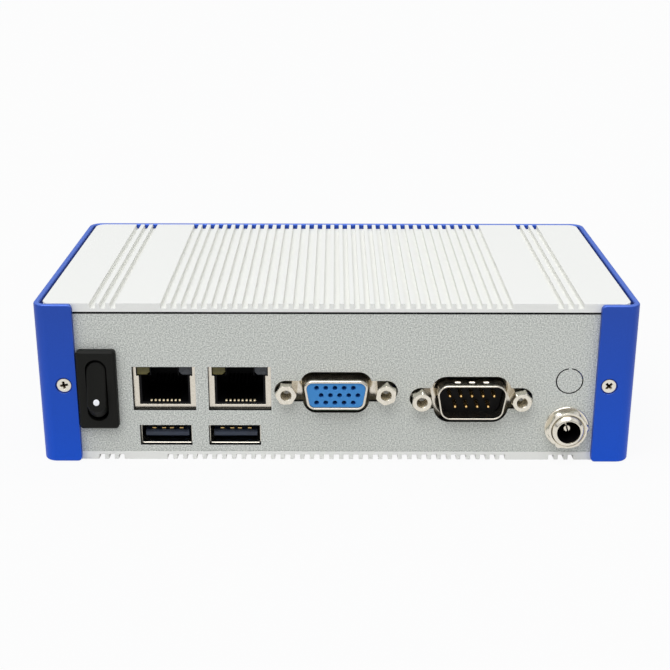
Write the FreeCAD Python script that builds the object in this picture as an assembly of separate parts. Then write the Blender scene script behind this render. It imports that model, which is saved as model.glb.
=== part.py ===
import FreeCAD, Part
import math
import os

from FreeCAD import Vector

# Fanless industrial PC: a blue strip of aluminium wrapped round two grooved covers, with the
# connector panel between the strip's two short flanges. Millimetres, +Z up, connectors at -Y.
# The origin is under the middle of everything, the standing-out rocker included.

# ---- Case ----
case_width = 149.5
case_depth = 80.0            # over the wrap, front flange to back wall
case_height = 42.0
wrap_sheet = 1.5             # strip that is bent round the sides and the back
wrap_bend = 3.5              # outer radius of its four bends
wrap_edge_break = 0.4        # broken edge along the strip's outer long edges
flange_width = 9.8           # how far each end of the strip turns in over the panel
flange_corner = 1.0          # rounding of the strip's end corners

cover_sheet = 2.2            # thickness of the two grooved covers
cover_side_gap = 0.75        # dark line between a cover and the wrap
cover_back_gap = 0.3
cover_corner = 2.5
groove_pitch = 2.5
groove_width = 1.4
groove_depth = 1.3
middle_grooves = 17          # grooves each side of the middle one
outer_first = 22             # the outer group, counted in pitches from the middle
outer_last = 24
rail_width = 7.0             # rails under the top cover that the corner posts screw into
rail_height = 4.0

panel_sheet = 1.2
panel_cover_gap = 0.3        # dark line above and below the panel
panel_end_gap = 4.25         # from the case's side to the panel's end, clear of the bends

# ---- Corner posts and their screws ----
post_size = 6.2
post_inset = 6.65            # post axis from the case's side
post_stud = 1.5              # radius of the stud at its upper end
post_stud_length = 3.0
stud_clearance = 0.05
stud_spare = 0.4             # free depth over the stud
screw_height = 20.8          # flange screws above the base
screw_head = 1.95            # radius of the countersunk head
screw_sink = 2.25            # radius of the countersink at the surface
screw_shank = 1.0
screw_length = 7.0
screw_fit = 0.02             # between a thread and its hole, all round
screw_hole_spare = 0.2       # through holes are this much wider than the shank
screw_hole_depth = 8.5
small_sides = 8              # facets round each small repeated rod or hole
cell_sides = 24              # facets round the clock's coin cell

# ---- Bracket holes in the bottom cover ----
land_x = 48.75               # middle of the wide plain land between the groove groups
bracket_spacing_y = 44.0
bracket_hole = 1.25

# ---- Main board and what stands on it ----
board_side_margin = 0.3      # board past the outermost sockets
board_back_gap = 2.0         # between the board and the wrap's back wall
board_sheet = 1.6
board_top = 12.6             # above the base
board_front = 3.0            # board's front edge behind the panel's face
board_hole = 1.6
board_hole_front = 26.0      # front row of fixing holes behind the panel's face
board_hole_inset = 3.5       # from the board's other edges
standoff_flats = 5.0
standoff_thread = 1.27
standoff_thread_depth = 6.0
board_screw_shank = 1.25
board_screw_head = 2.75
board_screw_head_height = 1.8
board_screw_length = 5.0

processor_size = 30.0
processor_sheet = 0.9
die_width = 14.0
die_depth = 12.0
die_height = 0.6
processor_x = -3.0
processor_back = 48.0        # middle of the processor behind the panel's face
block_size = 40.0            # heat block that carries the processor's heat to the top cover
block_foot = 18.0
block_foot_height = 5.0
block_leg = 4.0
pad_sheet = 0.5

memory_width = 67.6
memory_depth = 30.0
memory_sheet = 1.0
memory_back = 27.0           # socket's front behind the panel's face
memory_drop = 2.4            # module's upper face under the board
memory_socket_height = 4.0
memory_socket_depth = 6.5
memory_slot_depth = 4.0
memory_arm = 2.5
memory_arm_length = 20.0
memory_chip = (12.0, 9.0, 0.9)
memory_chips = 4
storage_width = 22.0
storage_depth = 42.0
storage_sheet = 0.8
storage_block_gap = 1.0      # between the heat block and the card
storage_back_margin = 3.0    # from the socket's back to the board's edge
storage_lift = 1.7
storage_socket_depth = 7.0
storage_socket_height = 3.4
storage_slot_depth = 3.0
storage_chip = (14.0, 18.0, 1.0)
battery_radius = 10.0
battery_height = 3.2
battery_x = -35.5
battery_back = 50.0
battery_floor = 0.8
battery_wall = 1.2
battery_wall_height = 3.0
part_clearance = 0.1         # between a module or cell and the socket that holds it

# ---- Rocker switch at the panel's left end ----
switch_z = 19.65
bezel_width = 9.8
bezel_height = 20.85
bezel_out = 2.0
bezel_chamfer = 0.5
bezel_corner = 0.9
housing_width = 8.4
housing_height = 19.2
housing_depth = 14.0
well_width = 5.3
well_height = 16.4
well_lip = 1.4               # thickness of the lip round the well's mouth
cavity_height = 17.8
cavity_depth = 9.5           # from the bezel's face
rocker_width = 4.8
rocker_face = 12.64          # length of the rocker's face
rocker_shoulder = 15.5       # length where its ends reach the well
rocker_skirt = 15.9
pivot_in = 2.6               # pivot behind the panel's face
rocker_reach = 5.68          # from the pivot to the face
shoulder_reach = 3.5
skirt_back = 1.6             # skirt beyond the pivot
rocker_tilt = 13.3           # each way from level; at rest the marked lower end stands out
rocker_edge = 0.3
axle_radius = 0.8
axle_length = 0.9
axle_clearance = 0.05
mark_radius = 0.85
mark_from_pivot = 3.9
mark_depth = 0.3
terminal = (0.5, 2.8, 6.5)
terminal_pitch = 5.0

# ---- Network sockets ----
lan_cut_width = 15.8
lan_cut_bottom = 13.6
lan_cut_top = 25.3
lan_width = 15.9
lan_height = 13.3
lan_depth = 21.0
lan_sheet = 0.4
lan_mouth_width = 12.8
lan_mouth_bottom = 2.15      # above the board
lan_mouth_top = 9.85
lan_light_width = 3.3
lan_light_height = 2.3
lan_light_depth = 9.0
lan_port_width = 11.7
lan_port_bottom = 2.6
lan_port_depth = 13.0
lan_latch_width = 6.8
lan_latch_top = 12.3
lan_light_span = 13.9        # over both lights
lan_contacts = 8
lan_contact_pitch = 1.016
lan_contact = 0.45
lan_contact_front = 1.4      # first bend behind the port's mouth
lan_contact_rise = 2.4

# ---- USB sockets ----
usb_shifts = (0.0, -1.5)     # each USB socket's middle from the network socket's above it
usb_z = 6.77
usb_cut_width = 13.2
usb_cut_height = 5.5
usb_width = 13.1
usb_height = 5.7
usb_sheet = 0.35
usb_depth = 14.0
usb_corner = 0.6             # outer corners of the folded tube
usb_tongue_width = 11.1
usb_tongue_sheet = 1.84
usb_tongue_low = 0.9         # free space under the tongue
usb_tongue_setback = 1.3
usb_tongue_chamfer = 0.45
usb_back_wall = 2.0
usb_leg_width = 2.2
usb_contact_xs = (-3.5, -1.0, 1.0, 3.5)
usb_contact = 1.1
usb_contact_sheet = 0.35

# ---- D-shaped connectors: 15-way video socket and 9-way serial plug ----
jack_spacing = 24.99
d_flange_width = 30.81
d_flange_height = 12.5
d_flange_sheet = 0.8
d_flange_corner = 1.5
d_side_angle = 10.0
d_front = 3.1                # shell in front of the panel's face
d_flange_in = 2.8            # flange behind the panel's face
d_body_width = 21.0
d_body_depth = 10.5
d_body_inset = 0.8           # moulding inside the flange's outline
jack_flats = 4.75
jack_out = 3.0
jack_thread = 1.2
jack_thread_depth = 4.5
jack_stud = 1.3
jack_stud_length = 4.0
jack_hole = 1.6

vga_z = 18.85
vga_shell_width = 16.3
vga_shell_height = 7.9
vga_shell_sheet = 0.5
vga_shell_corner = 2.2
vga_cut_width = 19.4
vga_cut_height = 11.0
vga_cut_drop = 0.35          # cut-out's middle under the connector's
vga_cut_corner = 3.4
vga_face_back = 0.25
vga_pitch = 2.29
vga_row_pitch = 1.98
vga_rows_right = 0.29        # the rows' common middle, right of the shell's
vga_row_shift = 0.58         # middle row to the right of that, the other two to the left
vga_hole = 0.52
vga_hole_depth = 4.0
vga_contact = 0.5
vga_contact_length = 1.5

serial_z = 16.95
serial_shell_width = 17.8
serial_shell_height = 9.2
serial_shell_sheet = 0.42
serial_shell_corner = 2.7
serial_cut_width = 21.8
serial_cut_height = 12.3
serial_cut_drop = 0.3
serial_cut_corner = 4.0
serial_pitch = 2.77
serial_row_pitch = 2.84
serial_pin = 0.5
pin_sides = 8
serial_pin_back = 0.8        # pin tips behind the shell's mouth
serial_floor = 4.6           # insulator behind the shell's mouth
dimple = (1.7, 0.8, 0.2)
dimple_pitch = 3.55
dimple_back = 2.0

ear_reach = 3.0              # from a jackscrew's axis to the end of the slot round it
ear_height = 5.6
board_notch_spare = 0.6      # room in the board round the serial connector's flange

# ---- Power inlet and the knock-out above it ----
dc_z = 9.15
dc_radius = 4.0
dc_out = 3.6
dc_bore = 2.93
dc_lip = 0.5
dc_liner = 3.35              # radius over the corners of the insulating liner
dc_shoulder = 5.0            # body behind the panel
dc_body_end = 12.0           # behind the panel's face
dc_floor = 10.0
dc_pin_radius = 1.0
dc_pin_back = 2.7            # pin tip behind the barrel's mouth
dc_pin_slot = 0.35
dc_pin_turn = 20.0
dc_nut_flats = 10.9
dc_nut_sheet = 2.0
dc_nut_turn = 14.0
dc_washer_radius = 5.6
dc_washer_sheet = 0.5
dc_thread_clearance = 0.05
knock_z = 21.7
knock_radius = 3.3
knock_slot = 0.3
knock_bridge = 0.8

# ---- Row of pieces along the panel: switch, two network, video, serial, power ----
row_widths = (bezel_width, lan_width, lan_width, d_flange_width, d_flange_width,
              2 * dc_washer_radius)
row_gaps = (0.25, 3.65, 3.1, 0.85, 3.2, 3.5, 0.95)   # shares of the width that is left over


def row_places():
    """X of the middle of each piece in the row, left to right."""
    clear = case_width - 2 * flange_width
    unit = (clear - sum(row_widths)) / sum(row_gaps)
    places = []
    edge = -clear / 2
    for gap, width in zip(row_gaps, row_widths):
        edge += gap * unit
        places.append(edge + width / 2)
        edge += width
    return places


# ---- Places that follow from the sizes above ----
switch_x, lan_left_x, lan_right_x, vga_x, serial_x, dc_x = row_places()
lan_xs = (lan_left_x, lan_right_x)
usb_xs = [x + shift for x, shift in zip(lan_xs, usb_shifts)]
tilt = math.radians(rocker_tilt)
rocker_tip = rocker_reach * math.cos(tilt) + rocker_face / 2 * math.sin(tilt) - pivot_in
front_reach = rocker_tip - wrap_sheet
wrap_front = (front_reach - case_depth) / 2
wrap_back = wrap_front + case_depth
panel_front = wrap_front + wrap_sheet
panel_back = panel_front + panel_sheet
inner_back = wrap_back - wrap_sheet
case_middle = (wrap_front + wrap_back) / 2
cover_underside = case_height - cover_sheet
cover_half = case_width / 2 - wrap_sheet - cover_side_gap
post_x = case_width / 2 - post_inset
post_front_y = panel_back + post_size / 2
post_back_y = inner_back - post_size / 2
board_bottom = board_top - board_sheet
board_left = lan_left_x - lan_width / 2 - board_side_margin
board_right = serial_x + d_flange_width / 2 + board_side_margin
board_back = inner_back - board_back_gap
storage_left = processor_x + block_size / 2 + storage_block_gap


def inward(depth):
    """Y of a place this far behind the panel's face."""
    return panel_front + depth


def block(x0, x1, y0, y1, z0, z1):
    """Box between two corners."""
    return Part.makeBox(x1 - x0, y1 - y0, z1 - z0, Vector(x0, y0, z0))


def rod_y(x, z, radius, y0, y1):
    """Round bar along Y."""
    return Part.makeCylinder(radius, y1 - y0, Vector(x, y0, z), Vector(0, 1, 0))


def rod_z(x, y, radius, z0, z1):
    """Round bar along Z."""
    return Part.makeCylinder(radius, z1 - z0, Vector(x, y, z0), Vector(0, 0, 1))


def faceted(place, way, radius, far_radius, length, sides):
    """Small rod or cone with flat facets, its corners on the round form."""
    angles = [2 * math.pi * (i % sides) / sides for i in range(sides + 1)]
    near = [Vector(radius * math.cos(a), radius * math.sin(a), 0) for a in angles]
    far = [Vector(far_radius * math.cos(a), far_radius * math.sin(a), length) for a in angles]
    loops = [near, far]
    for i in range(sides):
        loops.append([near[i], near[i + 1], far[i + 1], far[i], near[i]])
    body = Part.makeSolid(Part.makeShell([Part.Face(Part.makePolygon(loop)) for loop in loops]))
    body.Placement = FreeCAD.Placement(place, FreeCAD.Rotation(Vector(0, 0, 1), way))
    return body


def small_rod(place, way, radius, length):
    """Small repeated rod or hole."""
    return faceted(place, way, radius, radius, length, small_sides)


def rounded_wire(points, radii):
    """Closed wire through the points, with an arc of its own radius at each corner."""
    starts = []
    ends = []
    middles = []
    count = len(points)
    for i, corner in enumerate(points):
        to_last = (points[i - 1] - corner).normalize()
        to_next = (points[(i + 1) % count] - corner).normalize()
        half = to_last.getAngle(to_next) / 2
        reach = radii[i] / math.tan(half)
        bisector = (to_last + to_next).normalize()
        starts.append(corner + to_last * reach)
        ends.append(corner + to_next * reach)
        middles.append(corner + bisector * (radii[i] / math.sin(half) - radii[i]))
    edges = []
    for i in range(count):
        if radii[i] > 0:
            edges.append(Part.Arc(starts[i], middles[i], ends[i]).toShape())
        edges.append(Part.LineSegment(ends[i], starts[(i + 1) % count]).toShape())
    return Part.Wire(edges)


def prism_y(points, radii, y0, y1):
    """Outline given as (x, z) corners, rounded and carried along Y."""
    wire = rounded_wire([Vector(x, y0, z) for x, z in points], radii)
    return Part.Face(wire).extrude(Vector(0, y1 - y0, 0))


def prism_z(points, radii, z0, z1):
    """Outline given as (x, y) corners, rounded and carried along Z."""
    wire = rounded_wire([Vector(x, y, z0) for x, y in points], radii)
    return Part.Face(wire).extrude(Vector(0, 0, z1 - z0))


def rectangle(x, z, width, height):
    """Corners of a rectangle round (x, z)."""
    left = x - width / 2
    low = z - height / 2
    return [(left, low), (left + width, low), (left + width, low + height), (left, low + height)]


def slab_y(x, z, width, height, radius, y0, y1):
    """Upright rectangular slab with four rounded corners."""
    return prism_y(rectangle(x, z, width, height), [radius] * 4, y0, y1)


def hexagon(x, z, flats, turn):
    """Corners of a hexagon with this distance across its flats."""
    radius = flats / 2 / math.cos(math.pi / 6)
    angles = [math.radians(60 * i + turn) for i in range(6)]
    return [(x + radius * math.cos(a), z + radius * math.sin(a)) for a in angles]


def d_outline(x, z, width, height):
    """Corners of a D-shaped connector: wide above, sides leaning in by the standard angle."""
    lean = height / 2 * math.tan(math.radians(d_side_angle))
    top = width / 2
    foot = width / 2 - 2 * lean
    return [(x - foot, z - height / 2), (x + foot, z - height / 2),
            (x + top, z + height / 2), (x - top, z + height / 2)]


def d_prism(x, z, width, height, corner, y0, y1):
    """D-shaped outline carried along Y."""
    return prism_y(d_outline(x, z, width, height), [corner] * 4, y0, y1)


def one_piece(shapes):
    """Fuse shapes into one clean solid."""
    body = shapes[0]
    for shape in shapes[1:]:
        body = body.fuse(shape)
    return body.removeSplitter()


def without(body, cutters):
    """Cut every cutter from the body."""
    return body.cut(Part.makeCompound(cutters)) if cutters else body


def save(node, solids):
    """Write one node; several solids stay separate in it."""
    shape = solids[0] if len(solids) == 1 else Part.makeCompound(solids)
    shape.exportStep(f"parts/{node}.step")
    print(f"{node}: {len(shape.Solids)} solids, volume {shape.Volume:.2f}, valid {shape.isValid()}")


# ---- Screws through the case: where each enters and which way it goes ----
screw_seats = [
    (Vector(-post_x, wrap_front, screw_height), Vector(0, 1, 0)),
    (Vector(post_x, wrap_front, screw_height), Vector(0, 1, 0)),
    (Vector(-post_x, wrap_back, screw_height), Vector(0, -1, 0)),
    (Vector(post_x, wrap_back, screw_height), Vector(0, -1, 0)),
    (Vector(-post_x, post_front_y, 0), Vector(0, 0, 1)),
    (Vector(post_x, post_front_y, 0), Vector(0, 0, 1)),
    (Vector(-post_x, post_back_y, 0), Vector(0, 0, 1)),
    (Vector(post_x, post_back_y, 0), Vector(0, 0, 1)),
]


def screw_entry(seat, sheet):
    """Countersink and clearance hole, to be cut from the sheet under a screw's head."""
    place, way = seat
    through = screw_shank + screw_hole_spare
    depth = screw_sink - through
    sink = faceted(place, way, screw_sink, through, depth, small_sides)
    return [sink, small_rod(place + way * depth, way, through, sheet - depth)]


def case_screw(seat):
    """Countersunk screw whose head sits just under the sheet's face."""
    place, way = seat
    drop = screw_sink - screw_head - screw_fit
    head_height = screw_head - screw_shank
    head = faceted(place + way * drop, way, screw_head, screw_shank, head_height, small_sides)
    neck = drop + head_height
    shank = small_rod(place + way * neck, way, screw_shank, screw_length - neck)
    return one_piece([head, shank])


def case_screws():
    """Two screws in each flange side of the wrap, and four from below."""
    return [case_screw(seat) for seat in screw_seats]


def wrap_frame():
    """Strip bent round both sides and the back, its ends turned in over the panel."""
    half = case_width / 2
    outer = [(-half, wrap_front), (half, wrap_front), (half, wrap_back), (-half, wrap_back)]
    strip = prism_z(outer, [wrap_bend] * 4, 0, case_height)
    long_edges = [edge for edge in strip.Edges if edge.BoundBox.ZLength < 1e-6]
    strip = strip.makeChamfer(wrap_edge_break, long_edges)
    hollow_half = half - wrap_sheet
    hollow = [(-hollow_half, panel_front), (hollow_half, panel_front),
              (hollow_half, inner_back), (-hollow_half, inner_back)]
    inside = prism_z(hollow, [wrap_bend - wrap_sheet] * 4, 0, case_height)
    gap = half - flange_width
    mouth = slab_y(0, case_height / 2, 2 * gap, case_height + 2 * flange_corner, 0,
                   wrap_front, panel_front)
    strip = strip.cut(inside).cut(mouth)
    ends = [edge for edge in strip.Edges
            if edge.BoundBox.YLength > wrap_sheet / 2
            and edge.BoundBox.XLength < 1e-6
            and edge.BoundBox.ZLength < 1e-6
            and abs(abs(edge.BoundBox.Center.x) - gap) < 1e-6]
    strip = strip.makeFillet(flange_corner, ends)
    cutters = []
    for seat in screw_seats[:4]:
        cutters += screw_entry(seat, wrap_sheet)
    return [without(strip, cutters)]


def groove_places():
    """X of every groove: a wide middle group and a small group near each side."""
    steps = list(range(-middle_grooves, middle_grooves + 1))
    outer = list(range(outer_first, outer_last + 1))
    steps += outer + [-step for step in outer]
    return [step * groove_pitch for step in sorted(steps)]


def cover_blank(rail):
    """Extruded cover lying face up at the top of the case, with its grooves and rails."""
    top = case_height
    points = [(-cover_half, cover_underside), (-cover_half, top)]
    for x in groove_places():
        left = x - groove_width / 2
        right = x + groove_width / 2
        points += [(left, top), (left, top - groove_depth), (right, top - groove_depth), (right, top)]
    points += [(cover_half, top), (cover_half, cover_underside)]
    if rail:
        low = cover_underside - rail_height
        for side in (1, -1):
            near = side * post_x + rail_width / 2
            far = side * post_x - rail_width / 2
            points += [(near, cover_underside), (near, low), (far, low), (far, cover_underside)]
    front = panel_front
    back = inner_back - cover_back_gap
    body = prism_y(points, [0] * len(points), front, back)
    plan = [(-cover_half, front), (cover_half, front), (cover_half, back), (-cover_half, back)]
    plan_body = prism_z(plan, [cover_corner] * 4, cover_underside - rail_height, top)
    body = body.common(plan_body)
    if rail:
        low = cover_underside - rail_height
        notch = block(-case_width, case_width, front, panel_back, low, cover_underside)
        body = body.cut(notch)
    return body


def top_cover():
    """Upper cover, with a blind threaded hole in its rails over each corner post."""
    low = cover_underside - rail_height
    up = Vector(0, 0, 1)
    holes = [small_rod(Vector(side * post_x, y, low), up, post_stud + stud_clearance,
                       post_stud_length + stud_spare)
             for side in (-1, 1) for y in (post_front_y, post_back_y)]
    return [without(cover_blank(True), holes)]


def standoff_places():
    """Plan positions of the board's four fixings."""
    return [(x, y) for x in (board_left + board_hole_inset, board_right - board_hole_inset)
            for y in (inward(board_hole_front), board_back - board_hole_inset)]


def bracket_places():
    """Plan positions of the four threaded holes for a wall bracket."""
    return [(side * land_x, case_middle + end * bracket_spacing_y / 2)
            for side in (-1, 1) for end in (-1, 1)]


def bottom_cover():
    """Lower cover: the same extrusion face down, without rails, drilled for screws and brackets."""
    body = cover_blank(False)
    middle = Vector(0, case_middle, case_height / 2)
    body = body.mirror(middle, Vector(0, 0, 1))
    cutters = []
    for seat in screw_seats[4:]:
        cutters += screw_entry(seat, cover_sheet)
    for x, y in bracket_places():
        cutters.append(rod_z(x, y, bracket_hole, -cover_sheet, 2 * cover_sheet))
    return [without(body, cutters)]


def corner_posts():
    """Square bars that join the covers and take the flange screws."""
    posts = []
    up = Vector(0, 0, 1)
    low = cover_sheet
    high = cover_underside - rail_height
    thread = screw_shank + screw_fit
    for side in (-1, 1):
        x = side * post_x
        for y, outer_y, way in ((post_front_y, panel_back, 1), (post_back_y, inner_back, -1)):
            bar = block(x - post_size / 2, x + post_size / 2, y - post_size / 2, y + post_size / 2,
                        low, high)
            stud = small_rod(Vector(x, y, high), up, post_stud, post_stud_length)
            foot_hole = small_rod(Vector(x, y, low), up, thread, screw_hole_depth)
            side_hole = small_rod(Vector(x, outer_y, screw_height), Vector(0, way, 0), thread,
                                  post_size)
            posts.append(without(one_piece([bar, stud]), [foot_hole, side_hole]))
    return posts


def d_cutout(x, z, width, height, corner, drop):
    """D-shaped window with a round-ended slot behind it for the two jackscrews."""
    window = d_prism(x, z - drop, width, height, corner, panel_front, panel_back)
    slot = slab_y(x, z, jack_spacing + 2 * ear_reach, ear_height, ear_height / 2 - 0.01,
                  panel_front, panel_back)
    return one_piece([window, slot])


def knock_out():
    """Nearly closed ring cut by laser, its disc held by one bridge at the top."""
    ring = rod_y(dc_x, knock_z, knock_radius + knock_slot / 2, panel_front, panel_back)
    disc = rod_y(dc_x, knock_z, knock_radius - knock_slot / 2, panel_front, panel_back)
    bridge = block(dc_x - knock_bridge / 2, dc_x + knock_bridge / 2, panel_front, panel_back,
                   knock_z, knock_z + 2 * knock_radius)
    return ring.cut(disc).cut(bridge)


def io_panel():
    """Flat sheet with the connector cut-outs, clamped between the flanges and the front posts."""
    low = cover_sheet + panel_cover_gap
    high = cover_underside - panel_cover_gap
    half = case_width / 2 - panel_end_gap
    sheet = block(-half, half, panel_front, panel_back, low, high)
    cutters = [slab_y(switch_x, switch_z, housing_width + 2 * part_clearance,
                      housing_height + 2 * part_clearance, 0, panel_front, panel_back)]
    for x in lan_xs:
        middle = (lan_cut_bottom + lan_cut_top) / 2
        cutters.append(slab_y(x, middle, lan_cut_width, lan_cut_top - lan_cut_bottom, 0,
                              panel_front, panel_back))
    for x in usb_xs:
        cutters.append(slab_y(x, usb_z, usb_cut_width, usb_cut_height, 0, panel_front, panel_back))
    cutters.append(d_cutout(vga_x, vga_z, vga_cut_width, vga_cut_height, vga_cut_corner, vga_cut_drop))
    cutters.append(d_cutout(serial_x, serial_z, serial_cut_width, serial_cut_height,
                            serial_cut_corner, serial_cut_drop))
    cutters.append(rod_y(dc_x, dc_z, dc_radius + dc_thread_clearance, panel_front, panel_back))
    cutters.append(knock_out())
    for side in (-1, 1):
        cutters.append(small_rod(Vector(side * post_x, panel_front, screw_height), Vector(0, 1, 0),
                                 screw_shank + screw_hole_spare, panel_sheet))
    return [without(sheet, cutters)]


def main_board():
    """Circuit board with its fixing holes and a notch round the low serial connector."""
    front = inward(board_front)
    board = block(board_left, board_right, front, board_back, board_bottom, board_top)
    notch_half = d_flange_width / 2 + board_notch_spare
    notch_back = inward(d_flange_in + d_flange_sheet + board_notch_spare)
    cutters = [block(serial_x - notch_half, serial_x + notch_half, front, notch_back,
                     board_bottom, board_top)]
    for x, y in standoff_places():
        cutters.append(small_rod(Vector(x, y, board_bottom), Vector(0, 0, 1), board_hole, board_sheet))
    return [without(board, cutters)]


def board_standoffs():
    """Hexagonal pillars on the bottom cover, threaded from above."""
    pillars = []
    for x, y in standoff_places():
        hexagon_points = hexagon(x, y, standoff_flats, 0)
        pillar = prism_z(hexagon_points, [0] * 6, cover_sheet, board_bottom)
        thread = small_rod(Vector(x, y, board_bottom - standoff_thread_depth), Vector(0, 0, 1),
                           standoff_thread, standoff_thread_depth)
        pillars.append(pillar.cut(thread))
    return pillars


def board_screws():
    """Round-headed screws that hold the board to its pillars."""
    screws = []
    for x, y in standoff_places():
        up = Vector(0, 0, 1)
        head = small_rod(Vector(x, y, board_top), up, board_screw_head, board_screw_head_height)
        shank = small_rod(Vector(x, y, board_top - board_screw_length), up, board_screw_shank,
                          board_screw_length)
        screws.append(one_piece([head, shank]))
    return screws


def processor():
    """Processor package with its raised die."""
    y = inward(processor_back)
    half = processor_size / 2
    package = block(processor_x - half, processor_x + half, y - half, y + half,
                    board_top, board_top + processor_sheet)
    die_low = board_top + processor_sheet
    die = block(processor_x - die_width / 2, processor_x + die_width / 2,
                y - die_depth / 2, y + die_depth / 2, die_low, die_low + die_height)
    return [one_piece([package, die])]


def heat_block():
    """Solid block between the die and the top cover, on four square legs."""
    y = inward(processor_back)
    half = block_size / 2
    die_top = board_top + processor_sheet + die_height
    main_low = die_top + block_foot_height
    x = processor_x
    main = block(x - half, x + half, y - half, y + half, main_low, cover_underside - pad_sheet)
    foot_half = block_foot / 2
    foot = block(x - foot_half, x + foot_half, y - foot_half, y + foot_half, die_top, main_low)
    legs = []
    for leg_x in (x - half, x + half - block_leg):
        for leg_y in (y - half, y + half - block_leg):
            legs.append(block(leg_x, leg_x + block_leg, leg_y, leg_y + block_leg,
                              board_top, main_low))
    return [one_piece([main, foot] + legs)]


def thermal_pad():
    """Soft pad that fills the joint between the heat block and the top cover."""
    y = inward(processor_back)
    half = block_size / 2
    return [block(processor_x - half, processor_x + half, y - half, y + half,
                  cover_underside - pad_sheet, cover_underside)]


def memory_socket():
    """Socket under the board: a slotted bar with an arm along each side of the module."""
    front = inward(memory_back)
    half = memory_width / 2 + memory_arm
    low = board_bottom - memory_socket_height
    bar = block(-half, half, front, front + memory_socket_depth, low, board_bottom)
    arm_back = front + memory_socket_depth + memory_arm_length
    arms = [block(side * half - (memory_arm - part_clearance if side > 0 else 0),
                  side * half + (memory_arm - part_clearance if side < 0 else 0),
                  front, arm_back, low, board_bottom) for side in (-1, 1)]
    slot_back = front + memory_socket_depth
    slot_top = board_bottom - memory_drop
    slot = block(-memory_width / 2 - part_clearance, memory_width / 2 + part_clearance,
                 slot_back - memory_slot_depth, slot_back,
                 slot_top - memory_sheet, slot_top)
    return [without(one_piece([bar] + arms), [slot])]


def memory_module():
    """Memory card with its chips on the lower face."""
    y = inward(memory_back) + memory_socket_depth - memory_slot_depth
    top = board_bottom - memory_drop
    half = memory_width / 2
    card = block(-half, half, y, y + memory_depth, top - memory_sheet, top)
    long, wide, thick = memory_chip
    pitch = memory_width / memory_chips
    chips = []
    for i in range(memory_chips):
        x = (i - (memory_chips - 1) / 2) * pitch
        middle = y + memory_depth * 0.6
        chips.append(block(x - long / 2, x + long / 2, middle - wide / 2, middle + wide / 2,
                           top - memory_sheet - thick, top - memory_sheet))
    return [one_piece([card] + chips)]


def storage_places():
    """Front edge of the storage card, and the Y where it enters its socket."""
    mouth = board_back - storage_back_margin - storage_socket_depth
    return mouth + storage_slot_depth - storage_depth, mouth


def storage_socket():
    """Low socket on the board for the storage card's back edge."""
    _, mouth = storage_places()
    low = board_top + storage_lift
    body = block(storage_left, storage_left + storage_width, mouth, mouth + storage_socket_depth,
                 board_top, board_top + storage_socket_height)
    slot = block(storage_left, storage_left + storage_width, mouth, mouth + storage_slot_depth,
                 low, low + storage_sheet)
    return [body.cut(slot)]


def storage_module():
    """Flash storage card, one chip on its upper face."""
    front, _ = storage_places()
    low = board_top + storage_lift
    card = block(storage_left, storage_left + storage_width, front, front + storage_depth,
                 low, low + storage_sheet)
    wide, long, thick = storage_chip
    x = storage_left + storage_width / 2
    y = front + storage_depth / 2
    chip = block(x - wide / 2, x + wide / 2, y - long / 2, y + long / 2,
                 low + storage_sheet, low + storage_sheet + thick)
    return [one_piece([card, chip])]


def battery_holder():
    """Square open tray for the clock's coin cell."""
    y = inward(battery_back)
    inner = battery_radius + part_clearance
    outer = inner + battery_wall
    top = board_top + battery_floor + battery_wall_height
    tray = block(battery_x - outer, battery_x + outer, y - outer, y + outer, board_top, top)
    hollow = block(battery_x - inner, battery_x + inner, y - inner, y + inner,
                   board_top + battery_floor, top)
    return [tray.cut(hollow)]


def clock_battery():
    """Coin cell lying in its holder."""
    y = inward(battery_back)
    low = board_top + battery_floor
    return [faceted(Vector(battery_x, y, low), Vector(0, 0, 1), battery_radius, battery_radius,
                    battery_height, cell_sides)]


def stadium_wire(length, width, y):
    """Upright round-ended outline round the switch's middle."""
    points = [Vector(x, y, z) for x, z in rectangle(switch_x, switch_z, width, length)]
    return rounded_wire(points, [width / 2 - 0.005] * 4)


def stadium(length, width, y0, y1):
    """Upright round-ended bar along Y."""
    return Part.Face(stadium_wire(length, width, y0)).extrude(Vector(0, y1 - y0, 0))


def switch_body():
    """One moulding: bezel on the panel, housing behind it, and the well for the rocker."""
    face = panel_front - bezel_out
    bezel = slab_y(switch_x, switch_z, bezel_width, bezel_height, bezel_corner, face, panel_front)
    rim = [edge for edge in bezel.Edges
           if edge.BoundBox.YLength < 1e-6 and abs(edge.BoundBox.YMin - face) < 1e-6]
    bezel = bezel.makeChamfer(bezel_chamfer, rim)
    housing = slab_y(switch_x, switch_z, housing_width, housing_height, 0,
                     panel_front, inward(housing_depth))
    body = one_piece([bezel, housing])
    mouth = stadium(well_height, well_width, face, face + well_lip)
    cavity = slab_y(switch_x, switch_z, well_width, cavity_height, 0,
                    face + well_lip, face + cavity_depth)
    reach = rocker_width / 2 + axle_length + axle_clearance
    axle_hole = small_rod(Vector(switch_x - reach, inward(pivot_in), switch_z), Vector(1, 0, 0),
                          axle_radius + 2 * axle_clearance, 2 * reach)
    return [without(body, [mouth, cavity, axle_hole])]


def tilted(shape):
    """Turn a piece of the rocker from level to its rest position, lower end out."""
    pivot = Vector(switch_x, inward(pivot_in), switch_z)
    turned = shape.copy()
    turned.rotate(pivot, Vector(1, 0, 0), -rocker_tilt)
    return turned


def rocker_face_y():
    """Y of the level rocker's face."""
    return inward(pivot_in) - rocker_reach


def mark_seat(depth):
    """Short round plug in the rocker's face near its lower end, level position."""
    face = rocker_face_y()
    return rod_y(switch_x, switch_z - mark_from_pivot, mark_radius, face, face + depth)


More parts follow.
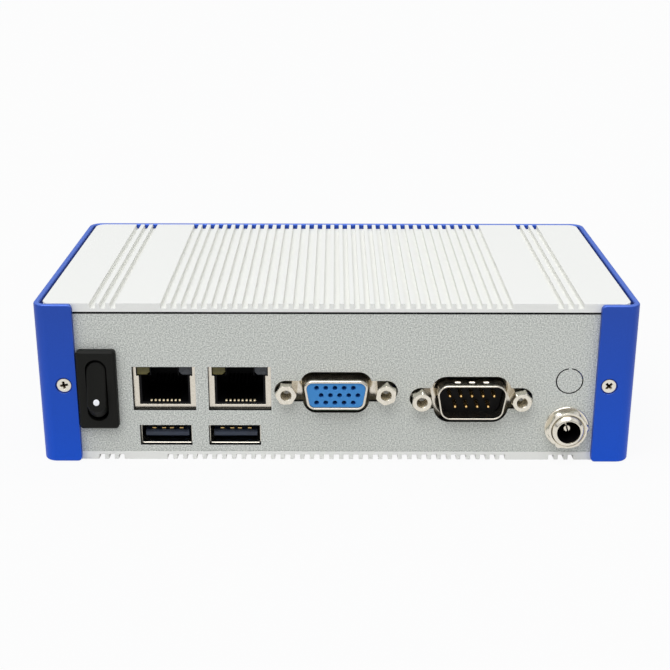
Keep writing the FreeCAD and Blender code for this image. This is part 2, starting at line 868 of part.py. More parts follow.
def switch_rocker():
    """Rocker with round ends that taper to its face, on two stub axles."""
    pivot = inward(pivot_in)
    sections = [stadium_wire(rocker_face, rocker_width, rocker_face_y()),
                stadium_wire(rocker_shoulder, rocker_width, pivot - shoulder_reach)]
    cap = Part.makeLoft(sections, True, True)
    rim = [edge for edge in cap.Edges if edge.BoundBox.YMax - rocker_face_y() < 1e-6]
    cap = cap.makeChamfer(rocker_edge, rim)
    skirt = stadium(rocker_skirt, rocker_width, pivot - shoulder_reach, pivot + skirt_back)
    reach = rocker_width / 2 + axle_length
    axle = small_rod(Vector(switch_x - reach, pivot, switch_z), Vector(1, 0, 0), axle_radius,
                     2 * reach)
    body = one_piece([cap, skirt, axle]).cut(mark_seat(mark_depth))
    return [tilted(body)]


def rocker_mark():
    """White dot let into the rocker's face."""
    return [tilted(mark_seat(mark_depth))]


def switch_terminals():
    """Three flat tabs at the back of the switch."""
    thin, wide, long = terminal
    y = inward(housing_depth)
    return [block(switch_x - wide / 2, switch_x + wide / 2, y, y + long,
                  switch_z + i * terminal_pitch - thin / 2, switch_z + i * terminal_pitch + thin / 2)
            for i in (-1, 0, 1)]


def lan_front():
    """Y of a network socket's front, just behind the panel."""
    return panel_back + part_clearance / 2


def lan_shield(x):
    """Folded sheet round the socket: a box with a windowed front, open below."""
    half = lan_width / 2
    front = lan_front()
    back = front + lan_depth
    top = board_top + lan_height
    shell = block(x - half, x + half, front, back, board_top, top)
    hollow = block(x - half + lan_sheet, x + half - lan_sheet, front + lan_sheet, back - lan_sheet,
                   board_top, top - lan_sheet)
    mouth_half = lan_mouth_width / 2
    mouth = block(x - mouth_half, x + mouth_half, front, front + lan_sheet,
                  board_top + lan_mouth_bottom, board_top + lan_mouth_top)
    light_half = lan_light_span / 2 + part_clearance
    lights = block(x - light_half, x + light_half, front, front + lan_sheet,
                   board_top + lan_mouth_top, top - lan_sheet)
    return shell.cut(hollow).cut(mouth).cut(lights)


def lan_light_boxes(x, spare):
    """The two indicator lights in the socket's upper corners, or their pockets."""
    front = lan_front() + lan_sheet
    low = board_top + lan_mouth_top + part_clearance
    boxes = []
    for side in (-1, 1):
        outer = x + side * lan_light_span / 2
        inner = outer - side * lan_light_width
        boxes.append(block(min(inner, outer) - spare, max(inner, outer) + spare,
                           front, front + lan_light_depth + spare,
                           low - spare, low + lan_light_height + spare))
    return boxes


def lan_body(x):
    """Moulded block inside the shield, with the plug's port and the latch's notch above it."""
    half = lan_width / 2 - lan_sheet
    front = lan_front() + lan_sheet
    top = board_top + lan_height - lan_sheet
    body = block(x - half, x + half, front, lan_front() + lan_depth - lan_sheet, board_top, top)
    port_half = lan_port_width / 2
    port = block(x - port_half, x + port_half, front, front + lan_port_depth,
                 board_top + lan_port_bottom, board_top + lan_mouth_top)
    latch_half = lan_latch_width / 2
    latch = block(x - latch_half, x + latch_half, front, front + lan_port_depth,
                  board_top + lan_mouth_top, board_top + lan_latch_top)
    cutters = [port, latch] + lan_light_boxes(x, part_clearance / 2)
    return body.cut(one_piece(cutters[:2])).cut(Part.makeCompound(cutters[2:]))


def lan_contact_springs(x):
    """Row of springs that rise from the port's floor to its back wall."""
    front = lan_front() + lan_sheet + lan_contact_front
    back = lan_front() + lan_sheet + lan_port_depth
    low = board_top + lan_port_bottom
    springs = []
    for i in range(lan_contacts):
        left = x + (i - (lan_contacts - 1) / 2) * lan_contact_pitch - lan_contact / 2
        side = [Vector(left, front, low), Vector(left, front, low + lan_contact),
                Vector(left, back, low + lan_contact_rise + lan_contact),
                Vector(left, back, low + lan_contact_rise)]
        face = Part.Face(Part.makePolygon(side + side[:1]))
        springs.append(face.extrude(Vector(lan_contact, 0, 0)))
    return springs


def usb_shell(x):
    """Folded sheet tube with four legs up to the board."""
    front = panel_back + part_clearance / 2
    back = front + usb_depth
    outer = slab_y(x, usb_z, usb_width, usb_height, usb_corner, front, back)
    inner = slab_y(x, usb_z, usb_width - 2 * usb_sheet, usb_height - 2 * usb_sheet, 0, front, back)
    pieces = [outer]
    for side in (-1, 1):
        wall = x + side * (usb_width / 2 - usb_sheet / 2)
        for y in (front + usb_depth * 0.25, front + usb_depth * 0.75):
            pieces.append(block(wall - usb_sheet / 2, wall + usb_sheet / 2, y - usb_leg_width / 2,
                                y + usb_leg_width / 2, usb_z, board_bottom))
    return one_piece(pieces).cut(inner)


def usb_tongue_top():
    """Height of the tongue's contact face."""
    return usb_z - usb_height / 2 + usb_sheet + usb_tongue_low + usb_tongue_sheet


def usb_body(x):
    """Insulator: the back wall that plugs the tube and the tongue that carries the contacts."""
    front = panel_back + part_clearance / 2
    back = front + usb_depth
    wall = slab_y(x, usb_z, usb_width - 2 * usb_sheet, usb_height - 2 * usb_sheet, 0,
                  back - usb_back_wall, back)
    top = usb_tongue_top()
    half = usb_tongue_width / 2
    tongue = block(x - half, x + half, front + usb_tongue_setback, back - usb_back_wall,
                   top - usb_tongue_sheet, top)
    nose = [edge for edge in tongue.Edges
            if edge.BoundBox.YMax - tongue.BoundBox.YMin < 1e-6 and edge.BoundBox.ZLength < 1e-6]
    tongue = tongue.makeChamfer(usb_tongue_chamfer, nose)
    return one_piece([wall, tongue])


def usb_contact_strips(x):
    """Four flat springs lying on the tongue."""
    front = panel_back + part_clearance / 2 + usb_tongue_setback + 2 * usb_tongue_chamfer
    back = panel_back + part_clearance / 2 + usb_depth - usb_back_wall
    top = usb_tongue_top()
    return [block(x + offset - usb_contact / 2, x + offset + usb_contact / 2, front, back,
                  top, top + usb_contact_sheet) for offset in usb_contact_xs]


def d_shell(x, z, width, height, sheet, corner):
    """Drawn shell on its flange, open right through, with a hole for each jackscrew."""
    mouth = panel_front - d_front
    flange_front = inward(d_flange_in)
    flange_back = flange_front + d_flange_sheet
    outer = d_prism(x, z, width, height, corner, mouth, flange_front)
    flange = slab_y(x, z, d_flange_width, d_flange_height, d_flange_corner, flange_front, flange_back)
    inner = d_prism(x, z, width - 2 * sheet, height - 2 * sheet, corner - sheet, mouth, flange_back)
    holes = [small_rod(Vector(x + side * jack_spacing / 2, flange_front, z), Vector(0, 1, 0),
                       jack_hole, d_flange_sheet) for side in (-1, 1)]
    return one_piece([outer, flange]).cut(Part.makeCompound([inner] + holes))


def d_body(x, z, low):
    """Moulded block behind a connector's flange, standing on the board."""
    front = inward(d_flange_in + d_flange_sheet)
    high = z + d_flange_height / 2 - d_body_inset
    body = block(x - d_body_width / 2, x + d_body_width / 2, front, front + d_body_depth, low, high)
    ears = slab_y(x, z, d_flange_width - 2 * d_body_inset, ear_height, 0, front,
                  front + jack_stud_length)
    holes = [small_rod(Vector(x + side * jack_spacing / 2, front, z), Vector(0, 1, 0),
                       jack_stud + screw_fit, jack_stud_length) for side in (-1, 1)]
    return one_piece([body, ears]).cut(Part.makeCompound(holes))


def jackscrews(x, z, turns):
    """Pair of hexagonal threaded pillars on the flange, each with a stud behind it."""
    pair = []
    front = panel_front - jack_out
    seat = inward(d_flange_in)
    for side, turn in zip((-1, 1), turns):
        middle = x + side * jack_spacing / 2
        pillar = prism_y(hexagon(middle, z, jack_flats, turn), [0] * 6, front, seat)
        stud = small_rod(Vector(middle, seat, z), Vector(0, 1, 0), jack_stud,
                         d_flange_sheet + jack_stud_length - stud_clearance)
        hole = rod_y(middle, z, jack_thread, front, front + jack_thread_depth)
        pair.append(one_piece([pillar, stud]).cut(hole))
    return pair


def vga_shell():
    """Drawn shell of the video socket."""
    return [d_shell(vga_x, vga_z, vga_shell_width, vga_shell_height, vga_shell_sheet,
                    vga_shell_corner)]


def vga_hole_places():
    """Middle of each of the fifteen contact holes."""
    places = []
    for row in (1, 0, -1):
        shift = vga_row_shift if row == 0 else -vga_row_shift
        for i in range(-2, 3):
            places.append((vga_x + vga_rows_right + shift + i * vga_pitch,
                           vga_z + row * vga_row_pitch))
    return places


def vga_insert():
    """Moulded core that fills the shell, holed for the pins, with its block on the board."""
    face = panel_front - d_front + vga_face_back
    flange_back = inward(d_flange_in + d_flange_sheet)
    core = d_prism(vga_x, vga_z, vga_shell_width - 2 * vga_shell_sheet,
                   vga_shell_height - 2 * vga_shell_sheet, vga_shell_corner - vga_shell_sheet,
                   face, flange_back)
    holes = [faceted(Vector(x, face, z), Vector(0, 1, 0), vga_hole, vga_hole, vga_hole_depth,
                     pin_sides) for x, z in vga_hole_places()]
    return [one_piece([core, d_body(vga_x, vga_z, board_top)]).cut(Part.makeCompound(holes))]


def vga_contacts():
    """Spring contact at the bottom of each hole."""
    back = panel_front - d_front + vga_face_back + vga_hole_depth
    half = vga_contact / 2
    return [block(x - half, x + half, back - vga_contact_length, back, z - half, z + half)
            for x, z in vga_hole_places()]


def serial_shell():
    """Plug's shell with pressed dimples above and below."""
    shell = d_shell(serial_x, serial_z, serial_shell_width, serial_shell_height,
                    serial_shell_sheet, serial_shell_corner)
    wide, long, deep = dimple
    y = panel_front - d_front + dimple_back
    cutters = []
    for side in (-1, 1):
        z = serial_z + side * serial_shell_height / 2
        for i in (-1, 0, 1):
            x = serial_x + i * dimple_pitch
            cutters.append(block(x - wide / 2, x + wide / 2, y, y + long, z - deep, z + deep))
    return [without(shell, cutters)]


def serial_insert():
    """Insulator deep in the shell, with its block on the board behind the notch."""
    face = panel_front - d_front + serial_floor
    flange_back = inward(d_flange_in + d_flange_sheet)
    core = d_prism(serial_x, serial_z, serial_shell_width - 2 * serial_shell_sheet,
                   serial_shell_height - 2 * serial_shell_sheet,
                   serial_shell_corner - serial_shell_sheet, face, flange_back)
    return [one_piece([core, d_body(serial_x, serial_z, board_top)])]


def serial_pins():
    """Nine round pins with pointed tips: five above, four below."""
    tip = panel_front - d_front + serial_pin_back
    root = panel_front - d_front + serial_floor
    pins = []
    for count, row in ((5, 0.5), (4, -0.5)):
        for i in range(count):
            x = serial_x + (i - (count - 1) / 2) * serial_pitch
            z = serial_z + row * serial_row_pitch
            taper = serial_pin / 2
            point = faceted(Vector(x, tip, z), Vector(0, 1, 0), taper, serial_pin, taper, pin_sides)
            pin = faceted(Vector(x, tip + taper, z), Vector(0, 1, 0), serial_pin, serial_pin,
                          root - tip - taper, pin_sides)
            pins.append(one_piece([point, pin]))
    return pins


def dc_barrel():
    """Turned threaded bush, its shoulder behind the panel."""
    mouth = panel_front - dc_out
    bush = rod_y(dc_x, dc_z, dc_radius, mouth, panel_back)
    body = rod_y(dc_x, dc_z, dc_shoulder, panel_back, inward(dc_body_end))
    bore = rod_y(dc_x, dc_z, dc_bore, mouth, mouth + dc_lip)
    pocket = small_rod(Vector(dc_x, mouth + dc_lip, dc_z), Vector(0, 1, 0), dc_liner,
                       inward(dc_body_end) - mouth - dc_lip)
    return [one_piece([bush, body]).cut(bore).cut(pocket)]


def dc_liner_core():
    """Insulating liner behind the bush's lip, closed at the back."""
    front = panel_front - dc_out + dc_lip
    liner = small_rod(Vector(dc_x, front, dc_z), Vector(0, 1, 0), dc_liner,
                      inward(dc_body_end) - front)
    bore = rod_y(dc_x, dc_z, dc_bore, front, inward(dc_floor))
    return [liner.cut(bore)]


def dc_pin():
    """Split centre pin."""
    tip = panel_front - dc_out + dc_pin_back
    pin = rod_y(dc_x, dc_z, dc_pin_radius, tip, inward(dc_floor))
    slot = block(dc_x - dc_pin_slot / 2, dc_x + dc_pin_slot / 2, tip, tip + 3 * dc_pin_radius,
                 dc_z - 2 * dc_pin_radius, dc_z + 2 * dc_pin_radius)
    slot.rotate(Vector(dc_x, 0, dc_z), Vector(0, 1, 0), dc_pin_turn)
    return [pin.cut(slot)]


def dc_nut():
    """Thin hexagonal nut that holds the bush to the panel."""
    back = panel_front - dc_washer_sheet
    front = back - dc_nut_sheet
    nut = prism_y(hexagon(dc_x, dc_z, dc_nut_flats, dc_nut_turn), [0] * 6, front, back)
    bore = rod_y(dc_x, dc_z, dc_radius + dc_thread_clearance, front, back)
    return [nut.cut(bore)]


def dc_washer():
    """Plain washer between the nut and the panel."""
    front = panel_front - dc_washer_sheet
    disc = rod_y(dc_x, dc_z, dc_washer_radius, front, panel_front)
    return [disc.cut(rod_y(dc_x, dc_z, dc_radius + dc_thread_clearance, front, panel_front))]


save("wrap_frame", wrap_frame())
save("top_cover", top_cover())
save("bottom_cover", bottom_cover())
save("io_panel", io_panel())
save("case_screws", case_screws())
save("corner_posts", corner_posts())
save("main_board", main_board())
save("board_standoffs", board_standoffs())
save("board_screws", board_screws())
save("processor", processor())
save("heat_block", heat_block())
save("thermal_pad", thermal_pad())
save("memory_socket", memory_socket())
save("memory_module", memory_module())
save("storage_socket", storage_socket())
save("storage_module", storage_module())
save("battery_holder", battery_holder())
save("clock_battery", clock_battery())
save("switch_body", switch_body())
save("switch_rocker", switch_rocker())
save("rocker_mark", rocker_mark())
save("switch_terminals", switch_terminals())
for side, lan_x, usb_x in zip(("left", "right"), lan_xs, usb_xs):
    save(f"lan_{side}_shield", [lan_shield(lan_x)])
    save(f"lan_{side}_body", [lan_body(lan_x)])
    save(f"lan_{side}_contacts", lan_contact_springs(lan_x))
    save(f"lan_{side}_lights", lan_light_boxes(lan_x, 0))
    save(f"usb_{side}_shell", [usb_shell(usb_x)])
    save(f"usb_{side}_body", [usb_body(usb_x)])
    save(f"usb_{side}_contacts", usb_contact_strips(usb_x))
save("vga_shell", vga_shell())
save("vga_insert", vga_insert())
save("vga_contacts", vga_contacts())
save("vga_jackscrews", jackscrews(vga_x, vga_z, (0, 22)))
save("serial_shell", serial_shell())
save("serial_insert", serial_insert())
save("serial_pins", serial_pins())
save("serial_jackscrews", jackscrews(serial_x, serial_z, (28, 8)))
save("dc_barrel", dc_barrel())
save("dc_liner", dc_liner_core())
save("dc_pin", dc_pin())
save("dc_nut", dc_nut())
save("dc_washer", dc_washer())
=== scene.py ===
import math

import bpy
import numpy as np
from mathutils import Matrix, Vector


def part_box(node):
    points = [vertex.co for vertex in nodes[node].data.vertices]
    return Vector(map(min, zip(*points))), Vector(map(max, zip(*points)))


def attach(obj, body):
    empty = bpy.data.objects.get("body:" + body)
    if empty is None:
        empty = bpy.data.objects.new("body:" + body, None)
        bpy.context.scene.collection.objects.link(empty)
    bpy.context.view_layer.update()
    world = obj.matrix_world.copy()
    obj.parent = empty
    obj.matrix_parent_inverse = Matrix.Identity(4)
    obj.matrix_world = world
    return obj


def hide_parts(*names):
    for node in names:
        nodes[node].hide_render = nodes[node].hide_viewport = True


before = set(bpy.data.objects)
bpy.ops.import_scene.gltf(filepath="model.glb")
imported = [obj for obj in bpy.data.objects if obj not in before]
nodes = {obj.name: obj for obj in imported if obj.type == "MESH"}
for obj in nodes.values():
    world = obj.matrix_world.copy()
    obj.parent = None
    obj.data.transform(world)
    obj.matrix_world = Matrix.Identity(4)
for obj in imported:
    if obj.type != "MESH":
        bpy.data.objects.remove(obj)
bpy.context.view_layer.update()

# %% [markdown]
# # A fanless industrial PC
#
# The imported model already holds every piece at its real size, so this notebook only dresses it. It sets up
# the camera first, because what the eye sees from there decides how fine each piece has to be. Then come
# the light, the finishes and last the small metal pieces whose drawn, turned and threaded shapes a plain
# solid leaves out.

MM = 0.001               # every length below is in millimetres times this

scene = bpy.context.scene

# %% [markdown]
# ## Camera
#
# A long lens, held a little above the connector side, shows the panel almost square on and still takes in
# the top. The place of the panel's face comes from the frame, and the camera stands a fixed distance in front
# of it. A real camera is never quite level, so a tenth of a degree of roll stays in.

# %% Camera
PANEL_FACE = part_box("io_panel")[0].y
CAMERA_BACK = 285.7 * MM
CAMERA_LEFT = 0.4 * MM
CAMERA_HEIGHT = 136.1 * MM
CAMERA_PITCH = 19.69     # degrees below the horizon
CAMERA_ROLL = 0.10
LENS = 65.96             # focal length in mm
SENSOR = 36.0            # width of the sensor in mm

camera_data = bpy.data.cameras.new("camera")
camera_data.lens = LENS
camera_data.sensor_width = SENSOR
camera_data.clip_start = 10 * MM
camera = bpy.data.objects.new("camera", camera_data)
scene.collection.objects.link(camera)
turn = Matrix.Rotation(math.radians(90 - CAMERA_PITCH), 4, "X")
roll = Matrix.Rotation(math.radians(CAMERA_ROLL), 4, "Z")
place = Matrix.Translation((-CAMERA_LEFT, PANEL_FACE - CAMERA_BACK, CAMERA_HEIGHT))
camera.matrix_world = place @ turn @ roll
scene.camera = camera
scene.view_settings.view_transform = "Standard"
print("camera stands at", [round(c / MM, 1) for c in camera.matrix_world.translation], "mm")

# %% [markdown]
# ## Colours and nodes
#
# A colour is written as sRGB hex, the way a paint card or a screen gives it, and one function turns it into
# the linear numbers that the renderer adds up. One more small function adds a node: its settings go in by
# name, and each input takes a value, another node or one of its outputs. A whole material then reads from
# top to bottom.

# %% Colour and node helpers
def linear(code):
    """sRGB hex to linear light: the low end is a straight line, the rest a power of 2.4."""
    channels = np.array([int(code[i:i + 2], 16) for i in (1, 3, 5)]) / 255
    curve = ((channels + 0.055) / 1.055) ** 2.4
    return (*np.where(channels <= 0.04045, channels / 12.92, curve), 1.0)


def add_node(tree, kind, inputs=None, **settings):
    """Add one node. Inputs are found by name or identifier and take a value, a node or an output."""
    made = tree.nodes.new(kind)
    for name, value in settings.items():
        setattr(made, name, value)
    sockets = {socket.identifier: socket for socket in made.inputs}
    for name, value in (inputs or {}).items():
        socket = sockets.get(name) or made.inputs[name]
        if isinstance(value, bpy.types.Node):
            value = next(output for output in value.outputs if output.enabled)
        if isinstance(value, bpy.types.NodeSocket):
            tree.links.new(value, socket)
        else:
            socket.default_value = value
    return made


def new_material(name, **constants):
    """A node material; its constants are set straight on the shader's own sockets."""
    print("finish:", name)
    material = bpy.data.materials.new(name)
    material.use_nodes = True
    tree = material.node_tree
    shader = tree.nodes["Principled BSDF"]
    for socket, value in constants.items():
        shader.inputs[socket.replace("_", " ")].default_value = value
    return material, tree, shader


def feed(tree, shader, **sources):
    """Link nodes to the shader's inputs by name."""
    for socket, source in sources.items():
        output = next(output for output in source.outputs if output.enabled)
        tree.links.new(output, shader.inputs[socket.replace("_", " ")])


print("mid grey #808080 is", round(float(linear("#808080")[0]), 3), "in linear light")

# %% [markdown]
# ## Light
#
# An object shown on white is lit by large soft sources: most of the light comes down from above, so the top
# is the brightest face, and the front gets about three quarters of it. Sun lamps with a wide angle do this
# evenly over the whole floor, with a soft shadow. Their strength is chosen so that a white sheet lying flat
# renders just under white, and two weak ones from either side keep the blue flanks from going dull.

# %% Light
def soft_sun(name, strength, spread, elevation, bearing):
    """Wide sun: elevation above the horizon, bearing from straight in front, positive to the right."""
    lamp = bpy.data.lights.new(name, "SUN")
    lamp.energy = strength
    lamp.angle = math.radians(spread)
    holder = bpy.data.objects.new(name, lamp)
    scene.collection.objects.link(holder)
    holder.matrix_world = (Matrix.Rotation(math.radians(bearing), 4, "Z")
                           @ Matrix.Rotation(math.radians(90 - elevation), 4, "X"))
    print(name, "at", elevation, "degrees, strength", strength)


soft_sun("overhead_light", 1.66, 50, 66, -20)
soft_sun("left_light", 0.22, 40, 30, -50)
soft_sun("right_light", 0.14, 40, 26, 50)

# %% [markdown]
# Bright metal shows what stands round it. A studio is bright overhead and darker at eye level, so the world
# goes from a mid grey at the horizon to a pale sky, and a curved shell gets both a light and a dark band.
# The camera sees a plain white backdrop instead, all the way up. Mirrors see the backdrop's lowest part,
# just above the floor's far edge.

# %% Studio round the object
BACKDROP_TOP = 0.07      # these three are sines of the angle above the horizon
DARK_TO = 0.05
PALE_FROM = 0.8

world = bpy.data.worlds.new("studio")
scene.world = world
world.use_nodes = True
room = world.node_tree
direction = add_node(room, "ShaderNodeTexCoord")
upward = add_node(room, "ShaderNodeSeparateXYZ", {0: direction.outputs["Generated"]})
rise = add_node(room, "ShaderNodeMapRange", {"Value": upward.outputs["Z"], "From Min": DARK_TO,
                                             "From Max": PALE_FROM}, interpolation_type="SMOOTHSTEP")
shade = add_node(room, "ShaderNodeMix", {"Factor_Float": rise, "A_Color": linear("#5C5F64"),
                                         "B_Color": linear("#D2D4D8")}, data_type="RGBA")
path = add_node(room, "ShaderNodeLightPath")
mirror = add_node(room, "ShaderNodeMath", {0: path.outputs["Is Glossy Ray"],
                                           1: path.outputs["Is Transmission Ray"]}, operation="MAXIMUM")
low_down = add_node(room, "ShaderNodeMath", {0: upward.outputs["Z"], 1: BACKDROP_TOP},
                    operation="LESS_THAN")
mirror = add_node(room, "ShaderNodeMath", {0: mirror, 1: low_down}, operation="MULTIPLY")
seen = add_node(room, "ShaderNodeMath", {0: path.outputs["Is Camera Ray"], 1: mirror}, operation="MAXIMUM")
around = add_node(room, "ShaderNodeMix", {"Factor_Float": seen, "A_Color": shade,
                                          "B_Color": linear("#FFFFFF")}, data_type="RGBA")
feed(room, room.nodes["Background"], Color=around)
print("three soft suns, a pale sky and a white backdrop")

# %% [markdown]
# ## Floor
#
# The floor is a wide white sheet. Lit alone it would come out a touch grey, and the shadow under the case
# would be heavy, so the camera, and metal that mirrors the floor, see it mixed with its own even white.
# What is left of the shadow still grounds the case.

# %% Floor
FLOOR_HALF = 4.0         # metres
PLAIN_WHITE = 0.92       # share of even white in what the camera sees


def floor_finish():
    """Matt white paper, part of it plain white to the camera and to mirrors."""
    material, tree, shader = new_material("matt_white_paper", Roughness=0.9, Specular_IOR_Level=0.1)
    place = add_node(tree, "ShaderNodeTexCoord")
    fibre = add_node(tree, "ShaderNodeTexNoise", {"Vector": place.outputs["Object"], "Scale": 40.0})
    tone = add_node(tree, "ShaderNodeMix", {"Factor_Float": fibre, "A_Color": linear("#D0D0D0"),
                                            "B_Color": linear("#D6D6D6")}, data_type="RGBA")
    feed(tree, shader, Base_Color=tone)
    path = add_node(tree, "ShaderNodeLightPath")
    seen = add_node(tree, "ShaderNodeMath", {0: path.outputs["Is Camera Ray"],
                                             1: path.outputs["Is Glossy Ray"]}, operation="MAXIMUM")
    seen = add_node(tree, "ShaderNodeMath", {0: seen, 1: path.outputs["Is Transmission Ray"]},
                    operation="MAXIMUM")
    share = add_node(tree, "ShaderNodeMath", {0: seen, 1: PLAIN_WHITE}, operation="MULTIPLY")
    white = add_node(tree, "ShaderNodeEmission", {"Color": linear("#FFFFFF"), "Strength": 1.0})
    mix = add_node(tree, "ShaderNodeMixShader", {0: share, 1: shader, 2: white})
    tree.links.new(mix.outputs[0], tree.nodes["Material Output"].inputs["Surface"])
    return material


floor_mesh = bpy.data.meshes.new("floor")
floor_mesh.from_pydata([(-FLOOR_HALF, -FLOOR_HALF, 0), (FLOOR_HALF, -FLOOR_HALF, 0),
                        (FLOOR_HALF, FLOOR_HALF, 0), (-FLOOR_HALF, FLOOR_HALF, 0)], [], [(0, 1, 2, 3)])
floor_mesh.materials.append(floor_finish())
floor = bpy.data.objects.new("floor", floor_mesh)
scene.collection.objects.link(floor)
print("floor", 2 * FLOOR_HALF, "m wide")

# %% [markdown]
# ## Finishes that show
#
# Each finish starts from what the real surface is and how it was made. Patterns read Object coordinates, in
# metres, so `PER_MM / size` is the scale of a pattern whose grains are `size` millimetres wide.

# %% Scale of patterns
PER_MM = 1 / MM
print("a pattern of 1 mm grains has scale", round(PER_MM))

# %% [markdown]
# ### Satin blue anodised strip
#
# Rolled aluminium strip is etched matt, anodised and dyed. The oxide is clear and coloured, so the metal
# under it lights up blue at grazing angles while the face stays deep. Etching leaves a fine grain, too small
# to show at 0.05 mm, so it is drawn at 0.25 mm and kept faint. The blue is painted a little greyer and darker
# towards the top, as painted shade. Faces that look up or down, the slit edges and rolled rims, are painted a
# paler blue as a painted highlight: the upright part of the surface normal finds them.

# %% Satin blue anodised strip
CASE_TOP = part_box("wrap_frame")[1].z


def blue_anodised():
    """Dyed aluminium oxide: a half-metal blue under a fine etched grain; painted shade and edge highlights.
    """
    material, tree, shader = new_material("satin_blue_anodised_aluminium", Metallic=0.35,
                                          Specular_IOR_Level=0.2)
    place = add_node(tree, "ShaderNodeTexCoord")
    split = add_node(tree, "ShaderNodeSeparateXYZ", {0: place.outputs["Object"]})
    # painted shade: the blue turns greyer and darker towards the top
    height = add_node(tree, "ShaderNodeMapRange", {"Value": split.outputs["Z"], "From Max": CASE_TOP})
    blue_with_painted_light = add_node(tree, "ShaderNodeMix", {"Factor_Float": height, "A_Color": linear("#1854CE"),
                                           "B_Color": linear("#2C50B2")}, data_type="RGBA")
    # painted highlight: faces that look up or down are painted a paler blue
    outward = add_node(tree, "ShaderNodeSeparateXYZ", {0: place.outputs["Normal"]})
    upright = add_node(tree, "ShaderNodeMath", {0: outward.outputs["Z"]}, operation="ABSOLUTE")
    edge_highlight = add_node(tree, "ShaderNodeMapRange", {"Value": upright, "From Min": 0.3, "From Max": 0.9})
    blue_with_painted_light = add_node(tree, "ShaderNodeMix", {"Factor_Float": edge_highlight, "A_Color": blue_with_painted_light,
                                           "B_Color": linear("#6283E0")}, data_type="RGBA")
    grain = add_node(tree, "ShaderNodeTexNoise", {"Vector": place.outputs["Object"], "Detail": 3.0,
                                                  "Scale": PER_MM / 0.25})
    fleck = add_node(tree, "ShaderNodeMapRange", {"Value": grain, "To Min": 0.90, "To Max": 1.10})
    colour = add_node(tree, "ShaderNodeVectorMath", {0: blue_with_painted_light, 1: fleck},
                      operation="MULTIPLY")
    rough = add_node(tree, "ShaderNodeMapRange", {"Value": grain, "To Min": 0.36, "To Max": 0.48})
    relief = add_node(tree, "ShaderNodeBump", {"Height": grain, "Strength": 0.25,
                                               "Distance": 0.01 * MM})
    feed(tree, shader, Base_Color=colour, Roughness=rough, Normal=relief)
    return material


blue_finish = blue_anodised()
print("blue strip reaches up to", round(CASE_TOP / MM, 2), "mm")

# %% [markdown]
# ### White powder coat
#
# Powder is blown on dry and melts in the oven. It flows into a skin with a soft ripple, called orange peel,
# whose waves are about 1.5 mm wide and a few micrometres deep. It breaks up the gloss without changing the
# colour, a warm white.

# %% White powder coat
def white_coated():
    """Baked powder: even warm white, a soft ripple and a satin gloss."""
    material, tree, shader = new_material("white_powder_coat", IOR=1.5)
    place = add_node(tree, "ShaderNodeTexCoord")
    ripple = add_node(tree, "ShaderNodeTexNoise", {"Vector": place.outputs["Object"], "Detail": 2.0,
                                                   "Scale": PER_MM / 1.5})
    grain = add_node(tree, "ShaderNodeTexNoise", {"Vector": place.outputs["Object"], "Detail": 1.0,
                                                  "Scale": PER_MM / 0.3})
    colour = add_node(tree, "ShaderNodeMix", {"Factor_Float": grain, "A_Color": linear("#F0F0EB"),
                                              "B_Color": linear("#F5F5F0")}, data_type="RGBA")
    rough = add_node(tree, "ShaderNodeMapRange", {"Value": ripple, "To Min": 0.42, "To Max": 0.56})
    relief = add_node(tree, "ShaderNodeBump", {"Height": ripple, "Strength": 0.3,
                                               "Distance": 0.02 * MM})
    feed(tree, shader, Base_Color=colour, Roughness=rough, Normal=relief)
    return material


white_finish = white_coated()

# %% [markdown]
# ### Grey textured powder coat
#
# The panel's powder is a texture grade: grains of 0.15 to 0.35 mm stay standing in the skin. Each grain
# catches the light on one side, and a few are paler or darker than the rest, which reads as fine speckle
# from arm's length. Grains of 0.34 mm are about as fine as a view of the whole case can hold.
#
# The cut-outs' edges are painted nearly black, without gloss: painted shade for the dark gaps round the
# connectors. A face is such an edge where its normal doesn't point along Y, below the panel's upper rim.

# %% Grey textured powder coat
# below this rim the cut-outs' edges are painted black as shade
PANEL_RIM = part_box("io_panel")[1].z - 1.0 * MM   # above this the edge is coated as well


